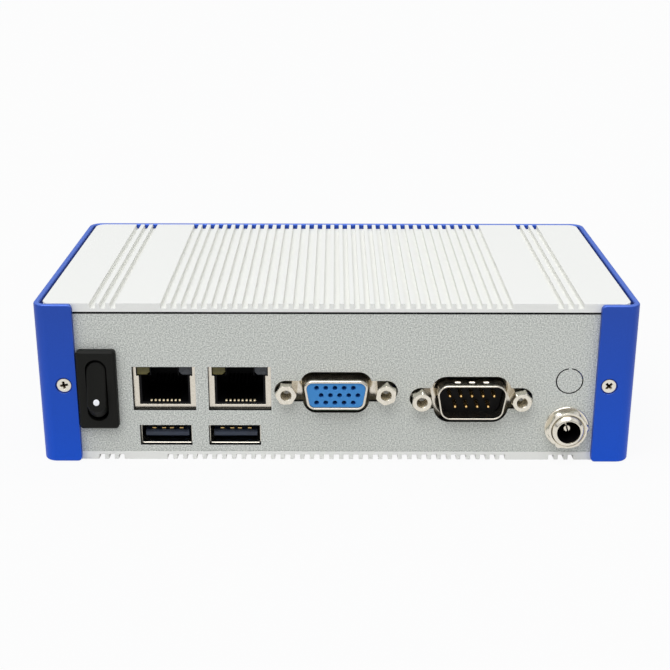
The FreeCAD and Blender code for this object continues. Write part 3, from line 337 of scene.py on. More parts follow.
def grey_coated():
    """Texture powder: speckle in colour, relief and gloss from one noise, and cut edges painted black as
    shade.
    """
    material, tree, shader = new_material("grey_textured_powder_coat", Specular_IOR_Level=0.3)
    place = add_node(tree, "ShaderNodeTexCoord")
    fine = add_node(tree, "ShaderNodeTexNoise", {"Vector": place.outputs["Object"], "Detail": 1.0,
                                                 "Scale": PER_MM / 0.34})
    speckle = add_node(tree, "ShaderNodeMapRange", {"Value": fine, "From Min": 0.3, "From Max": 0.7})
    tone = add_node(tree, "ShaderNodeMix", {"Factor_Float": speckle, "A_Color": linear("#ABAEA8"),
                                            "B_Color": linear("#EBEDE6")}, data_type="RGBA")
    # painted shade: below the rim, faces that don't look along Y are painted nearly black, without gloss
    outward = add_node(tree, "ShaderNodeSeparateXYZ", {0: place.outputs["Normal"]})
    facing = add_node(tree, "ShaderNodeMath", {0: outward.outputs["Y"]}, operation="ABSOLUTE")
    height = add_node(tree, "ShaderNodeSeparateXYZ", {0: place.outputs["Object"]})
    rim = add_node(tree, "ShaderNodeMath", {0: height.outputs["Z"], 1: PANEL_RIM},
                   operation="GREATER_THAN")
    coated = add_node(tree, "ShaderNodeMapRange", {"Value": facing, "From Min": 0.3, "From Max": 0.7})
    coated = add_node(tree, "ShaderNodeMath", {0: coated, 1: rim}, operation="MAXIMUM")
    colour = add_node(tree, "ShaderNodeMix", {"Factor_Float": coated, "A_Color": linear("#0A0A0A"),
                                              "B_Color": tone}, data_type="RGBA")
    gloss = add_node(tree, "ShaderNodeMapRange", {"Value": fine, "To Min": 0.55, "To Max": 0.75})
    painted_shade_edges = add_node(tree, "ShaderNodeMath", {0: 1.0, 1: coated}, operation="SUBTRACT")
    rough = add_node(tree, "ShaderNodeMath", {0: gloss, 1: painted_shade_edges}, operation="MAXIMUM")
    grit = add_node(tree, "ShaderNodeMath", {0: coated, 1: 0.35}, operation="MULTIPLY")
    relief = add_node(tree, "ShaderNodeBump", {"Height": fine, "Strength": grit,
                                               "Distance": 0.05 * MM})
    feed(tree, shader, Base_Color=colour, Roughness=rough, Normal=relief)
    return material


grey_finish = grey_coated()

# %% [markdown]
# ### Metals
#
# The small metal pieces are all bright, and differ in how they were made. Drawn shells carry streaks along
# the draw, turned pieces have rings round their axis from the tool, and plated screws are even. One
# function mixes two tones by a noise that is stretched along one direction: the stretch says how the piece
# was made, and the metal keeps the default index of refraction.

# %% Metals
def bright_metal(name, dark, pale, grain, stretch, roughness):
    """Metal whose tone, gloss and relief follow one noise; stretch makes grains longer along an axis."""
    material, tree, shader = new_material(name, Metallic=1.0)
    place = add_node(tree, "ShaderNodeTexCoord")
    drawn = add_node(tree, "ShaderNodeMapping", {"Vector": place.outputs["Object"], "Scale": stretch})
    streak = add_node(tree, "ShaderNodeTexNoise", {"Vector": drawn, "Detail": 3.0,
                                                   "Scale": PER_MM / grain})
    colour = add_node(tree, "ShaderNodeMix", {"Factor_Float": streak, "A_Color": linear(dark),
                                              "B_Color": linear(pale)}, data_type="RGBA")
    rough = add_node(tree, "ShaderNodeMapRange", {"Value": streak, "To Min": roughness,
                                                  "To Max": roughness + 0.12})
    relief = add_node(tree, "ShaderNodeBump", {"Height": streak, "Strength": 0.15,
                                               "Distance": 0.01 * MM})
    feed(tree, shader, Base_Color=colour, Roughness=rough, Normal=relief)
    return material


# drawn from sheet: warm grey, with streaks that run from the flange to the mouth
shell_finish = bright_metal("drawn_nickel_plated_steel", "#C9C1B2", "#EAE4D8", 0.6, (1.0, 0.2, 1.0), 0.16)
# turned on a lathe: fine rings round the axis, and the sharpest highlights of all
turned_finish = bright_metal("turned_nickel_plated_brass", "#CFC8B8", "#F0EBDF", 0.4, (1.0, 3.0, 1.0), 0.14)
# tumbled and plated: paler and even, with a softer highlight
screw_finish = bright_metal("nickel_plated_screw", "#D8D2C2", "#F4F0E6", 0.5, (1.0, 1.0, 1.0), 0.24)
# sawn from extruded bar: cooler and duller, streaked along its length
bar_finish = bright_metal("machined_aluminium", "#B9BBBD", "#D9DBDC", 0.5, (1.0, 1.0, 0.1), 0.30)
# bare brass: yellow, with rings round an upright axis
brass_finish = bright_metal("turned_brass", "#B8924A", "#E0C07A", 0.4, (1.0, 1.0, 3.0), 0.25)
# rolled strip with a tin skin: streaks run sideways, along the strip
tube_finish = bright_metal("rolled_tin_plated_steel", "#D6D0C2", "#F0EBDE", 0.8, (0.3, 1.0, 1.0), 0.14)
# a thin gold skin: warm yellow and smooth
gold_finish = bright_metal("gold_plated_contact", "#D9A860", "#F6DCA0", 0.3, (1.0, 1.0, 1.0), 0.20)

# %% [markdown]
# ### Springs plated only at the tip
#
# Gold is dear, so a contact spring gets it only on the bend that touches the plug. Behind that the spring is
# painted nearly black and dull, as painted shade for the dark inside the socket. The boundary is a soft step
# along Y.

# %% Springs plated only at the tip
SPRING_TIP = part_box("lan_left_contacts")[0].y - 0.95 * MM   # Y up to which the gold reaches


def tip_plated():
    """Gold tip, nearly black and dull behind it as painted shade; the same step also sets the gloss."""
    material, tree, shader = new_material("tip_plated_bronze_spring", Metallic=1.0)
    place = add_node(tree, "ShaderNodeTexCoord")
    split = add_node(tree, "ShaderNodeSeparateXYZ", {0: place.outputs["Object"]})
    # painted shade: behind the gold tip the spring is painted nearly black
    behind = add_node(tree, "ShaderNodeMapRange", {"Value": split.outputs["Y"], "From Min": SPRING_TIP,
                                                   "From Max": SPRING_TIP + 0.4 * MM})
    grain = add_node(tree, "ShaderNodeTexNoise", {"Vector": place.outputs["Object"], "Scale": PER_MM / 0.3})
    gold = add_node(tree, "ShaderNodeMix", {"Factor_Float": grain, "A_Color": linear("#EBD5A6"),
                                            "B_Color": linear("#FFF3D6")}, data_type="RGBA")
    colour = add_node(tree, "ShaderNodeMix", {"Factor_Float": behind, "A_Color": gold,
                                              "B_Color": linear("#0B0907")}, data_type="RGBA")
    rough = add_node(tree, "ShaderNodeMapRange", {"Value": behind, "To Min": 0.3, "To Max": 0.7})
    relief = add_node(tree, "ShaderNodeBump", {"Height": grain, "Strength": 0.1, "Distance": 0.01 * MM})
    feed(tree, shader, Base_Color=colour, Roughness=rough, Normal=relief)
    return material


spring_finish = tip_plated()

# %% [markdown]
# ### Plastics
#
# Moulded plastic takes its surface from the mould, so one function serves them all: two base tones, and the
# mould's grain in relief and gloss. What differs is the colour, the size of the grain and how well the mould
# was polished. The last three are inside the case, and are kept plain.

# %% Plastics
def moulded(name, dark, pale, grain, relief_height, roughness, **constants):
    """Moulded plastic: faint mottling, and the mould's own grain in relief and gloss."""
    material, tree, shader = new_material(name, **constants)
    place = add_node(tree, "ShaderNodeTexCoord")
    skin = add_node(tree, "ShaderNodeTexNoise", {"Vector": place.outputs["Object"], "Detail": 3.0,
                                                 "Scale": PER_MM / grain})
    colour = add_node(tree, "ShaderNodeMix", {"Factor_Float": skin, "A_Color": linear(dark),
                                              "B_Color": linear(pale)}, data_type="RGBA")
    rough = add_node(tree, "ShaderNodeMapRange", {"Value": skin, "To Min": roughness,
                                                  "To Max": roughness + 0.12})
    relief = add_node(tree, "ShaderNodeBump", {"Height": skin, "Strength": 0.3,
                                               "Distance": relief_height * MM})
    feed(tree, shader, Base_Color=colour, Roughness=rough, Normal=relief)
    return material


# glass fibres reach the skin: nearly black, dull, with little to show in the dark of a socket
socket_finish = moulded("black_glass_filled_nylon", "#070708", "#0E0E10", 0.5, 0.01, 0.42,
                        Specular_IOR_Level=0.15)
# a spark-eroded mould leaves fine craters: a warm black without a clear highlight
switch_finish = moulded("spark_eroded_black_nylon", "#131311", "#1C1C19", 0.3, 0.02, 0.45,
                        Specular_IOR_Level=0.14)
# coloured through: a flat mid blue, the strongest colour on the panel
blue_insert_finish = moulded("mid_blue_polyester", "#3F88CC", "#4792D6", 0.5, 0.01, 0.45,
                             Specular_IOR_Level=0.25)
# thick ink from a pad: clean white, smooth
mark_finish = moulded("white_pad_print", "#F2F4F8", "#FDFDFD", 0.5, 0.01, 0.40)
# smoked acrylic over a lamp that is off: olive, glossy, a little cloudy
olive_lamp_finish = moulded("smoked_olive_acrylic", "#57512A", "#736C3C", 1.2, 0.01, 0.22,
                            Specular_IOR_Level=0.3)
# the same over a colourless lamp: grey
clear_lamp_finish = moulded("smoked_clear_acrylic", "#3A3D41", "#55585C", 1.2, 0.01, 0.22,
                            Specular_IOR_Level=0.3)
# polished mould: blue-black, with paler patches of 2.5 mm painted in as sheen
tongue_finish = moulded("blue_black_polyester_painted_sheen", "#1A2334", "#3C4A64", 2.5, 0.01, 0.25)
# moulded epoxy: black and faintly gritty
chip_finish = moulded("black_epoxy_package", "#141415", "#1E1E1F", 0.4, 0.02, 0.55)
# poured mask over copper: dark green, glossy, wavy where tracks lie under it
board_finish = moulded("green_solder_mask", "#0D3B1E", "#15502B", 2.0, 0.02, 0.32)
# silicone with mineral filler: mid grey, soft and matt
pad_finish = moulded("grey_silicone_pad", "#7C8289", "#8C9299", 0.8, 0.02, 0.70)

# %% [markdown]
# ## Dressing the pieces that stay as they are
#
# The frame's own pieces keep their shape, so most only need their finish. Each piece has one slot, named for
# what it is made of, and a table gives the finish for every slot.

# %% Finish by slot
finishes = {
    "blue_anodised": blue_finish, "white_coated": white_finish, "grey_coated": grey_finish,
    "nickel_screw": screw_finish, "aluminium_bar": bar_finish, "board_green": board_finish,
    "brass_part": brass_finish, "chip_black": chip_finish, "pad_grey": pad_finish,
    "black_plastic": socket_finish, "switch_plastic": switch_finish, "white_mark": mark_finish,
    "gold_contact": gold_finish, "lamp_plastic": olive_lamp_finish, "nickel_shell": shell_finish,
    "blue_plastic": blue_insert_finish, "nickel_turned": turned_finish,
}
print(len(finishes), "slots have their finish")

# %% [markdown]
# ### Softened edges
#
# A folded sheet or a moulding has no knife edges. A Weld modifier joins the frame's loose triangles and a
# small Bevel rounds the edges, so that each one catches a thin line of light. The widths are in millimetres:
# bent and extruded metal is rounder than a moulding, and pieces out of sight are left as they are.

# %% Softened edges
WELD_WITHIN = 0.002 * MM
SOFTEN_FROM = 40         # degrees between faces


def dress(name, finish, edge=0.0):
    """Give a frame piece its finish and, where edge is set, rounded edges that many mm wide."""
    node = nodes[name]
    node.material_slots[0].material = finish
    if edge:
        weld = node.modifiers.new("joined", "WELD")
        weld.merge_threshold = WELD_WITHIN
        soft = node.modifiers.new("softened", "BEVEL")
        soft.width = edge * MM
        soft.segments = 2
        soft.limit_method = "ANGLE"
        soft.angle_limit = math.radians(SOFTEN_FROM)
        soft.harden_normals = True


SOFT_EDGES = {"top_cover": 0.14, "bottom_cover": 0.14, "io_panel": 0.16, "switch_body": 0.12,
              "lan_left_shield": 0.1, "lan_right_shield": 0.1, "lan_left_body": 0.1,
              "lan_right_body": 0.1, "usb_left_body": 0.12, "usb_right_body": 0.12,
              "usb_left_contacts": 0.1, "usb_right_contacts": 0.1}

OWN_FINISH = {"usb_left_body": tongue_finish, "usb_right_body": tongue_finish}

for name, node in nodes.items():
    finish = OWN_FINISH.get(name) or finishes[node.data.materials[0].name]
    dress(name, finish, SOFT_EDGES.get(name, 0.0))
print(len(nodes), "frame pieces dressed,", len(SOFT_EDGES), "with softened edges")

# %% [markdown]
# ## Outlines and sweeps
#
# Nearly every small piece here is an outline carried along one straight axis, with its edge turned in a
# little at the mouth. An outline is stored as arc centres, outward normals and radii: shrinking it by an
# inset keeps the centres and shortens the radii, so corners stay true arcs and never cross. A hexagon, a
# rounded rectangle and the D of a connector are then the same few lines of numpy.

# %% Outlines
def corner_arcs(corners, radius, steps=6, side_steps=0):
    """Convex polygon with rounded corners, counter-clockwise, as centres, normals and radii.

    With n1 and n2 the outward normals of the sides that meet at a corner, the arc's centre is
    corner - radius * (n1 + n2) / (1 + n1 . n2), and the normal turns evenly from n1 to n2. Along a side the
    normal stays and the centre runs straight from one arc's centre to the next.
    """
    corners = np.array(corners, float)
    along = np.roll(corners, -1, 0) - corners
    along /= np.linalg.norm(along, axis=1)[:, None]
    after = np.stack([along[:, 1], -along[:, 0]], 1)
    before = np.roll(after, 1, 0)
    middle = corners - radius * (before + after) / (1 + (before * after).sum(1))[:, None]
    start = np.arctan2(before[:, 1], before[:, 0])
    turn = np.mod(np.arctan2(after[:, 1], after[:, 0]) - start, 2 * np.pi)
    angle = start[:, None] + turn[:, None] * np.linspace(0, 1, steps + 1)
    arc_normals = np.stack([np.cos(angle), np.sin(angle)], -1)
    arc_centres = np.repeat(middle[:, None], steps + 1, 1)
    share = np.linspace(0, 1, side_steps + 2)[1:-1, None]
    side_centres = middle[:, None] + share * (np.roll(middle, -1, 0) - middle)[:, None]
    side_normals = np.repeat(after[:, None], side_steps, 1)
    centres = np.concatenate([arc_centres, side_centres], 1).reshape(-1, 2)
    normals = np.concatenate([arc_normals, side_normals], 1).reshape(-1, 2)
    return centres, normals, np.full(len(centres), float(radius))


square = corner_arcs([(-2, -2), (2, -2), (2, 2), (-2, 2)], 1.0)
print("a square of 4 mm rounded by 1 mm: first arc about", square[0][0], "of", len(square[0]), "points")

# %% [markdown]
# ### The outlines' corners
#
# The corner function needs nothing but a polygon, so each kind of opening or bar is one line or two: where
# its corners lie. A circle needs no polygon at all, only one centre with normals all round.

# %% Polygons and the circle
def circle(x, z, radius, steps=48):
    """Round outline: one centre, normals all round."""
    angle = np.arange(steps) * 2 * np.pi / steps
    return (np.tile([x, z], (steps, 1)), np.stack([np.cos(angle), np.sin(angle)], -1),
            np.full(steps, float(radius)))


def box_corners(x, z, width, height):
    """Corners of a rectangle about (x, z), counter-clockwise from the lower left."""
    signs = np.array([[-1, -1], [1, -1], [1, 1], [-1, 1]])
    return np.array([x, z]) + signs * np.array([width, height]) / 2


def hex_corners(x, z, flats, turn):
    """Corners of a hexagon: flats / 2 / cos(30 degrees) from its middle, 60 degrees apart."""
    angle = np.radians(60 * np.arange(6) + turn)
    return np.array([x, z]) + flats / 2 / math.cos(math.pi / 6) * np.stack([np.cos(angle), np.sin(angle)], 1)


def d_corners(x, z, width, height):
    """Corners of a D-shaped connector: its sides lean in by 10 degrees towards the foot."""
    lean = height * math.tan(math.radians(10))
    return np.array([[x - width / 2 + lean, z - height / 2], [x + width / 2 - lean, z - height / 2],
                     [x + width / 2, z + height / 2], [x - width / 2, z + height / 2]])


print("a hexagon of 5 mm reaches", round(float(hex_corners(0, 0, 5, 0).max()), 2), "mm to its corner")

# %% [markdown]
# ## From an outline to rows
#
# A sweep gives a grid: one row for each step of the profile, one column for each point of the outline. One
# function keeps the outline's own form, the other draws circles in line with its points, so that a hexagon
# and the round bore inside it can be neighbours in one grid.

# %% Rows of points
def carry(outline, profile, limit=None):
    """Rows of points: centre + (radius - inset) * normal in X and Z, at depth y, for each (inset, y).

    A limit for each row pulls points nearer to the outline's middle than that distance: it turns the
    corners of a hexagon round, as a chamfering tool does.
    """
    centre, normal, radius = outline
    inset, depth = np.array(profile, float).T
    flat = centre + (radius[None, :] - inset[:, None]).clip(0.01)[..., None] * normal
    if limit is not None:
        middle = centre.mean(0)
        reach = np.linalg.norm(flat - middle, axis=2)
        flat = middle + (flat - middle) * np.minimum(1, np.array(limit)[:, None] / reach)[..., None]
    depths = np.broadcast_to(depth[:, None], flat.shape[:2])
    return np.stack([flat[..., 0], depths, flat[..., 1]], -1)


def round_rows(outline, profile, wave=0.0, pitch=1.0):
    """Circles in line with an outline's points: radius and y for each row, round the outline's middle.

    A wave gives a screw thread: the radius changes by wave * a triangle that runs from 0 to 1 and back once
    every pitch along Y and once round the circle.
    """
    centre, normal, radius = outline
    middle = centre.mean(0)
    spoke = centre + radius[:, None] * normal - middle
    angle = np.arctan2(spoke[:, 1], spoke[:, 0])
    reach, depth = np.array(profile, float).T
    phase = np.mod(depth[:, None] / pitch - angle / (2 * np.pi), 1)
    size = reach[:, None] + wave * (1 - np.abs(2 * phase - 1))
    return np.stack([middle[0] + size * np.cos(angle), np.broadcast_to(depth[:, None], size.shape),
                     middle[1] + size * np.sin(angle)], -1)


print("a rounded box in two rows:", carry(corner_arcs(box_corners(0, 0, 4, 2), 0.5), [(0, 0), (0, 1)]).shape)

# %% [markdown]
# ### From rows to a mesh
#
# The skin joins neighbours in the grid with quads. A shell whose profile comes back to its start closes on
# itself, and any other sweep gets a flat cap at both ends, so every piece is closed.

# %% Skins
def skin(rows, ring=False):
    """Points, quads and end caps over a grid of rows that closes round."""
    count, columns = rows.shape[:2]
    across = np.arange(columns)
    beside = np.roll(across, -1)
    near = np.arange(count if ring else count - 1)[:, None] * columns
    far = (near + columns) % (count * columns)
    quads = np.stack([near + across, far + across, far + beside, near + beside], -1).reshape(-1, 4)
    caps = [] if ring else [across, across[::-1] + (count - 1) * columns]
    return rows.reshape(-1, 3), quads, caps


def mesh_of(name, skins):
    """One mesh from several skins, in metres."""
    starts = np.cumsum([0] + [len(points) for points, _, _ in skins])
    points = np.concatenate([points for points, _, _ in skins]) * MM
    faces = []
    for start, (_, quads, caps) in zip(starts, skins):
        faces += (quads + start).tolist() + [(cap + start).tolist() for cap in caps]
    mesh = bpy.data.meshes.new(name)
    mesh.from_pydata(points, [], faces)
    return mesh


print("a skin of 2 rows of 28 points has", len(skin(np.zeros((2, 28, 3)))[1]), "quads and two caps")

# %% [markdown]
# ### Where the frame's pieces are
#
# New pieces are placed from the frame's own boxes, in millimetres, so that they follow if a size changes.

# %% Boxes in millimetres
def span(name):
    """A frame piece's lowest and highest corner in millimetres."""
    low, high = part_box(name)
    return np.array(low) / MM, np.array(high) / MM


PANEL = span("io_panel")[0][1]   # Y of the panel's face
print("panel's face at Y", round(float(PANEL), 2), "mm")

# %% [markdown]
# ### Carving and finishing a piece
#
# Holes are closed skins too, subtracted exactly. A finished piece gets smooth shading with crisp edges, its
# finish, which comes from the slot's table unless one is given, the body it rides on, and the frame pieces it
# stands for, which are hidden. The function prints each piece as it is made.

# %% Pieces
def carved(piece, holes):
    """The piece's mesh less the closed skins of its holes, cut exactly."""
    tool = bpy.data.objects.new("cutter", mesh_of("cutter", holes))
    scene.collection.objects.link(tool)
    cut = piece.modifiers.new("cut", "BOOLEAN")
    cut.object = tool
    cut.solver = "EXACT"
    bpy.context.view_layer.update()
    graph = bpy.context.evaluated_depsgraph_get()
    mesh = bpy.data.meshes.new_from_object(piece.evaluated_get(graph))
    piece.modifiers.clear()
    bpy.data.objects.remove(tool)
    return mesh


def new_piece(name, skins, slot, finish=None, stands_for=(), holes=(), body="chassis", sharp=32):
    """Build, carve, shade and hang one piece; edges sharper than `sharp` degrees stay crisp."""
    piece = bpy.data.objects.new(name, mesh_of(name, skins))
    scene.collection.objects.link(piece)
    if holes:
        piece.data = carved(piece, holes)
    piece.data.materials.clear()
    piece.data.materials.append(finish or finishes[slot])
    piece.data.shade_smooth()
    piece.data.set_sharp_from_angle(angle=math.radians(sharp))
    even = piece.modifiers.new("even_shading", "WEIGHTED_NORMAL")
    even.keep_sharp = True
    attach(piece, body)
    if stands_for:
        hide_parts(*stands_for)
    print(name, "has", len(piece.data.polygons), "faces")

# %% [markdown]
# ## The blue strip
#
# One strip is bent round both sides and the back, and its ends turn in over the panel. Its section is a
# thin upright rectangle with rolled edges. Here the section is carried round the case's plan: the flat
# section is the outline and the bends are the path. Near each end the height falls away along a quarter
# circle, which rounds the flange's corners. The seats of the screws are cut afterwards, with a straight
# wall a little wider than the head: the narrow gap round the head is dark and makes the screw stand out.

# %% Blue strip
SHEET = 1.5
EDGE_ROUND = 0.5
BEND = 3.5               # outer radius
FLANGE = 9.8             # how far the strip's ends turn in over the panel
FLANGE_CORNER = 1.0

strip_low, strip_high = span("wrap_frame")


def strip_rows():
    """Section point (a outward, z up) at each path station: centre + (radius + a) * normal, height z.

    At a distance s from the strip's end the half height is less by r - sqrt(r^2 - (r - s)^2).
    """
    low, high = strip_low, strip_high
    plan = [(high[0], low[1]), (high[0], high[1]), (low[0], high[1]), (low[0], low[1])]
    centre, normal, radius = corner_arcs(plan, BEND, steps=12)
    gap = high[0] - FLANGE
    angle = np.linspace(0, np.pi / 2, 6)
    along = FLANGE_CORNER * (1 - np.cos(angle))
    drop = FLANGE_CORNER * (1 - np.sin(angle))
    ends = np.stack([gap + along, np.full(len(angle), low[1] + BEND)], 1)
    mirror = ends[::-1] * np.array([-1, 1])
    forward = np.tile([0, -1], (len(angle), 1))
    centre = np.concatenate([ends, centre, mirror])
    normal = np.concatenate([forward, normal, forward])
    drop = np.concatenate([drop, np.zeros(len(radius)), drop[::-1]])
    section = carry(corner_arcs(box_corners(-SHEET / 2, high[2] / 2, SHEET, high[2]), EDGE_ROUND, 5),
                    [(0, 0)])[0]
    outward, height = section[:, 0], section[:, 2]
    flat = centre[:, None] + (BEND + outward)[None, :, None] * normal[:, None]
    half = high[2] / 2
    rise = half + (height - half)[None, :] * (1 - drop / half)[:, None]
    return np.concatenate([flat, rise[..., None]], -1)


print("the strip is", strip_rows().shape[0], "rows of", strip_rows().shape[1], "points")

# %% [markdown]
# ### Seats of the screws
#
# Two screws in the flanges and two in the back go into the corner posts, so their places come from the
# posts' box. Each seat and its clearance hole are one stepped cutter that runs a little past the sheet.

# %% Seats of the screws
SCREW_HEIGHT = 20.8
SINK_RADIUS = 2.12
SINK_DEEP = 0.75
HOLE_RADIUS = 1.4
POST = 6.2               # side of a square corner post

post_low, post_high = span("corner_posts")
post_x = post_high[0] - POST / 2


def screw_holes(over=0.2):
    """Stepped cutters: seat, then clearance hole, at each screw; `over` is how far they pass the sheet."""
    holes = []
    step = SINK_RADIUS - HOLE_RADIUS
    for x in (-post_x, post_x):
        hole = circle(x, SCREW_HEIGHT, SINK_RADIUS, 40)
        face = strip_low[1]
        back = strip_high[1]
        front_hole = [(0, face - over), (0, face + SINK_DEEP), (step, face + SINK_DEEP),
                      (step, face + SHEET + over)]
        back_hole = [(step, back - SHEET - over), (step, back - SINK_DEEP), (0, back - SINK_DEEP),
                     (0, back + over)]
        holes += [skin(carry(hole, front_hole)), skin(carry(hole, back_hole))]
    return holes


new_piece("blue_strip", [skin(strip_rows())], "blue_anodised", stands_for=["wrap_frame"],
          holes=screw_holes())

# %% [markdown]
# ## Cross-head screws
#
# A countersunk screw's head is a shallow cone under a flat face, and its recess is two crossed slots whose
# walls slope inward. On a polar grid the whole face is one formula: the depth is how far a point lies inside
# the nearer slot, divided by the wall's slope, and never more than the recess is deep.

# %% Screws
HEAD_RADIUS = 1.8
HEAD_EDGE = 0.1          # the face's edge is broken by this
HEAD_DROP = 0.28         # face below the sheet's surface
SHANK_RADIUS = 1.0
SCREW_LENGTH = 7.0
SLOT_HALF = 0.32         # half a slot's width
SLOT_REACH = 1.04        # from the head's middle to a slot's end
RECESS_DEEP = 1.05
WALL_SLOPE = 0.30        # sideways run of a slot's wall for 1 mm of depth
SPOKES = 96              # points round the head
RINGS = 34               # rows across its face


def recess(x, z):
    """Depth of the cross recess at a point of the head, zero outside it."""
    def slot(along, across):
        # distance inside the slot's nearest wall, over the wall's slope; the ends are half as steep
        inside = np.minimum(SLOT_HALF - np.abs(across), 0.5 * (SLOT_REACH - np.abs(along)))
        return inside / WALL_SLOPE
    return np.maximum(slot(x, z), slot(z, x)).clip(0, RECESS_DEEP)


def screw_rows(turn):
    """Face rings from the middle out, then the rim, the cone and the shank; y is depth into the case."""
    angle = np.arange(SPOKES) * 2 * np.pi / SPOKES
    rings = np.linspace(0.02, HEAD_RADIUS - 1.2 * HEAD_EDGE, RINGS)
    lean = angle - math.radians(turn)
    face = recess(rings[:, None] * np.cos(lean), rings[:, None] * np.sin(lean))
    cone = HEAD_RADIUS - SHANK_RADIUS
    side = np.array([(HEAD_RADIUS - 0.4 * HEAD_EDGE, 0.3 * HEAD_EDGE), (HEAD_RADIUS, HEAD_EDGE),
                     (SHANK_RADIUS, HEAD_EDGE + cone), (SHANK_RADIUS, SCREW_LENGTH)])
    size = np.concatenate([rings, side[:, 0]])[:, None]
    depth = np.concatenate([face, np.repeat(side[:, 1:], SPOKES, 1)])
    return np.stack([size * np.cos(angle), depth, size * np.sin(angle)], -1)


print("deepest point of the recess:", round(float(screw_rows(0)[:RINGS, :, 1].max()), 2), "mm")

# %% [markdown]
# ### Screws in their places
#
# Every screw was driven home by hand, so each cross stands at its own angle. The four underneath go into the
# lower ends of the posts.

# %% Screws in their places
def driven(rows, place, way):
    """Turn rows so that depth runs the given way, then move them to their place."""
    turns = {"+y": np.eye(3), "-y": np.diag([-1, -1, 1]), "+z": np.array([[1, 0, 0], [0, 0, -1], [0, 1, 0]])}
    return rows @ turns[way].T + np.array(place)


front_face = strip_low[1] + HEAD_DROP
back_face = strip_high[1] - HEAD_DROP
seats = [((-post_x, front_face, SCREW_HEIGHT), "+y", 10), ((post_x, front_face, SCREW_HEIGHT), "+y", 45),
         ((-post_x, back_face, SCREW_HEIGHT), "-y", 25), ((post_x, back_face, SCREW_HEIGHT), "-y", 70)]
for side in (-1, 1):
    for y in (post_low[1] + POST / 2, post_high[1] - POST / 2):
        seats.append(((side * post_x, y, HEAD_DROP), "+z", 30 * side + y))
screw_skins = [skin(driven(screw_rows(turn), place, way)) for place, way, turn in seats]
print(len(screw_skins), "screws")

# %% [markdown]
# ### Painted shade in the recess
#
# The recess is darkened as painted shade: this finish is the bright plating with a brown shade mixed over
# it by depth.

# %% Painted shade in the recess
# Painted shade in the recess: it starts at the first depth below and hides the plating at the second.
SHADE_FROM = 0.12          # depth at which the film starts
SHADE_FULL = 0.6           # depth at which it hides the plating


def recess_shaded_screw():
    """Bright plating under painted shade that grows with depth, the least of three distances into the case.
    """
    material = bright_metal("nickel_plated_screw_painted_recess_shade", "#D8D2C2", "#F4F0E6", 0.5, (1.0, 1.0, 1.0), 0.24)
    tree = material.node_tree
    shader = tree.nodes["Principled BSDF"]
    plating = shader.inputs["Base Color"].links[0].from_socket
    place = add_node(tree, "ShaderNodeTexCoord")
    split = add_node(tree, "ShaderNodeSeparateXYZ", {0: place.outputs["Object"]})
    front = add_node(tree, "ShaderNodeMath", {0: split.outputs["Y"], 1: front_face * MM},
                     operation="SUBTRACT")
    back = add_node(tree, "ShaderNodeMath", {0: back_face * MM, 1: split.outputs["Y"]},
                    operation="SUBTRACT")
    under = add_node(tree, "ShaderNodeMath", {0: split.outputs["Z"], 1: HEAD_DROP * MM},
                     operation="SUBTRACT")
    deep = add_node(tree, "ShaderNodeMath", {0: front, 1: back}, operation="MINIMUM")
    deep = add_node(tree, "ShaderNodeMath", {0: deep, 1: under}, operation="MINIMUM")
    # painted shade: brown mixed over the plating by depth into the recess
    recess_shade = add_node(tree, "ShaderNodeMapRange", {"Value": deep, "From Min": SHADE_FROM * MM,
                                                 "From Max": SHADE_FULL * MM})
    colour = add_node(tree, "ShaderNodeMix", {"Factor_Float": recess_shade, "A_Color": plating,
                                              "B_Color": linear("#6B5A46")}, data_type="RGBA")
    feed(tree, shader, Base_Color=colour)
    return material


new_piece("cross_head_screws", screw_skins, "nickel_screw", finish=recess_shaded_screw(),
          stands_for=["case_screws"])

# %% [markdown]
# ## D-shaped connectors
#
# The video socket and the serial plug share one kind of shell, drawn from a flat flange in a single stroke.
# The sheet therefore has three bends that a plain solid leaves out: a rolled rim at the mouth, a broad
# radius where the shell meets the flange, and broken edges round the flange. The shell's D and the flange's
# rectangle have the same number of points, so one ring of rows runs from the rim back over the flange and
# up the inside again.

# %% Shells of the D connectors
D_FRONT = 3.1            # shell in front of the panel's face
FLANGE_IN = 2.8          # flange behind it
FLANGE_SHEET = 0.8
FLANGE_WIDTH = 30.81
FLANGE_HEIGHT = 12.5
FLANGE_CORNERS = 1.5
SHEET_EDGE = 0.12        # radius of a sheet's broken edges
MOUTH = PANEL - D_FRONT
FLANGE_FRONT = PANEL + FLANGE_IN
FLANGE_BACK = FLANGE_FRONT + FLANGE_SHEET


def bend(inset, depth, radius, first, last, steps=6):
    """Profile points on an arc: (inset + radius * cos, depth + radius * sin) of evenly stepped angles."""
    angle = np.radians(np.linspace(first, last, steps))
    return np.stack([inset + radius * np.cos(angle), depth + radius * np.sin(angle)], 1).tolist()


def box_skin(low, high, radius=0.25, steps=3):
    """Block with rounded upright edges and a small chamfer front and back."""
    outline = corner_arcs(box_corners((low[0] + high[0]) / 2, (low[2] + high[2]) / 2,
                                      high[0] - low[0], high[2] - low[2]), radius, steps)
    soft = 0.4 * radius
    return skin(carry(outline, [(soft, low[1]), (0, low[1] + soft), (0, high[1] - soft), (soft, high[1])]))


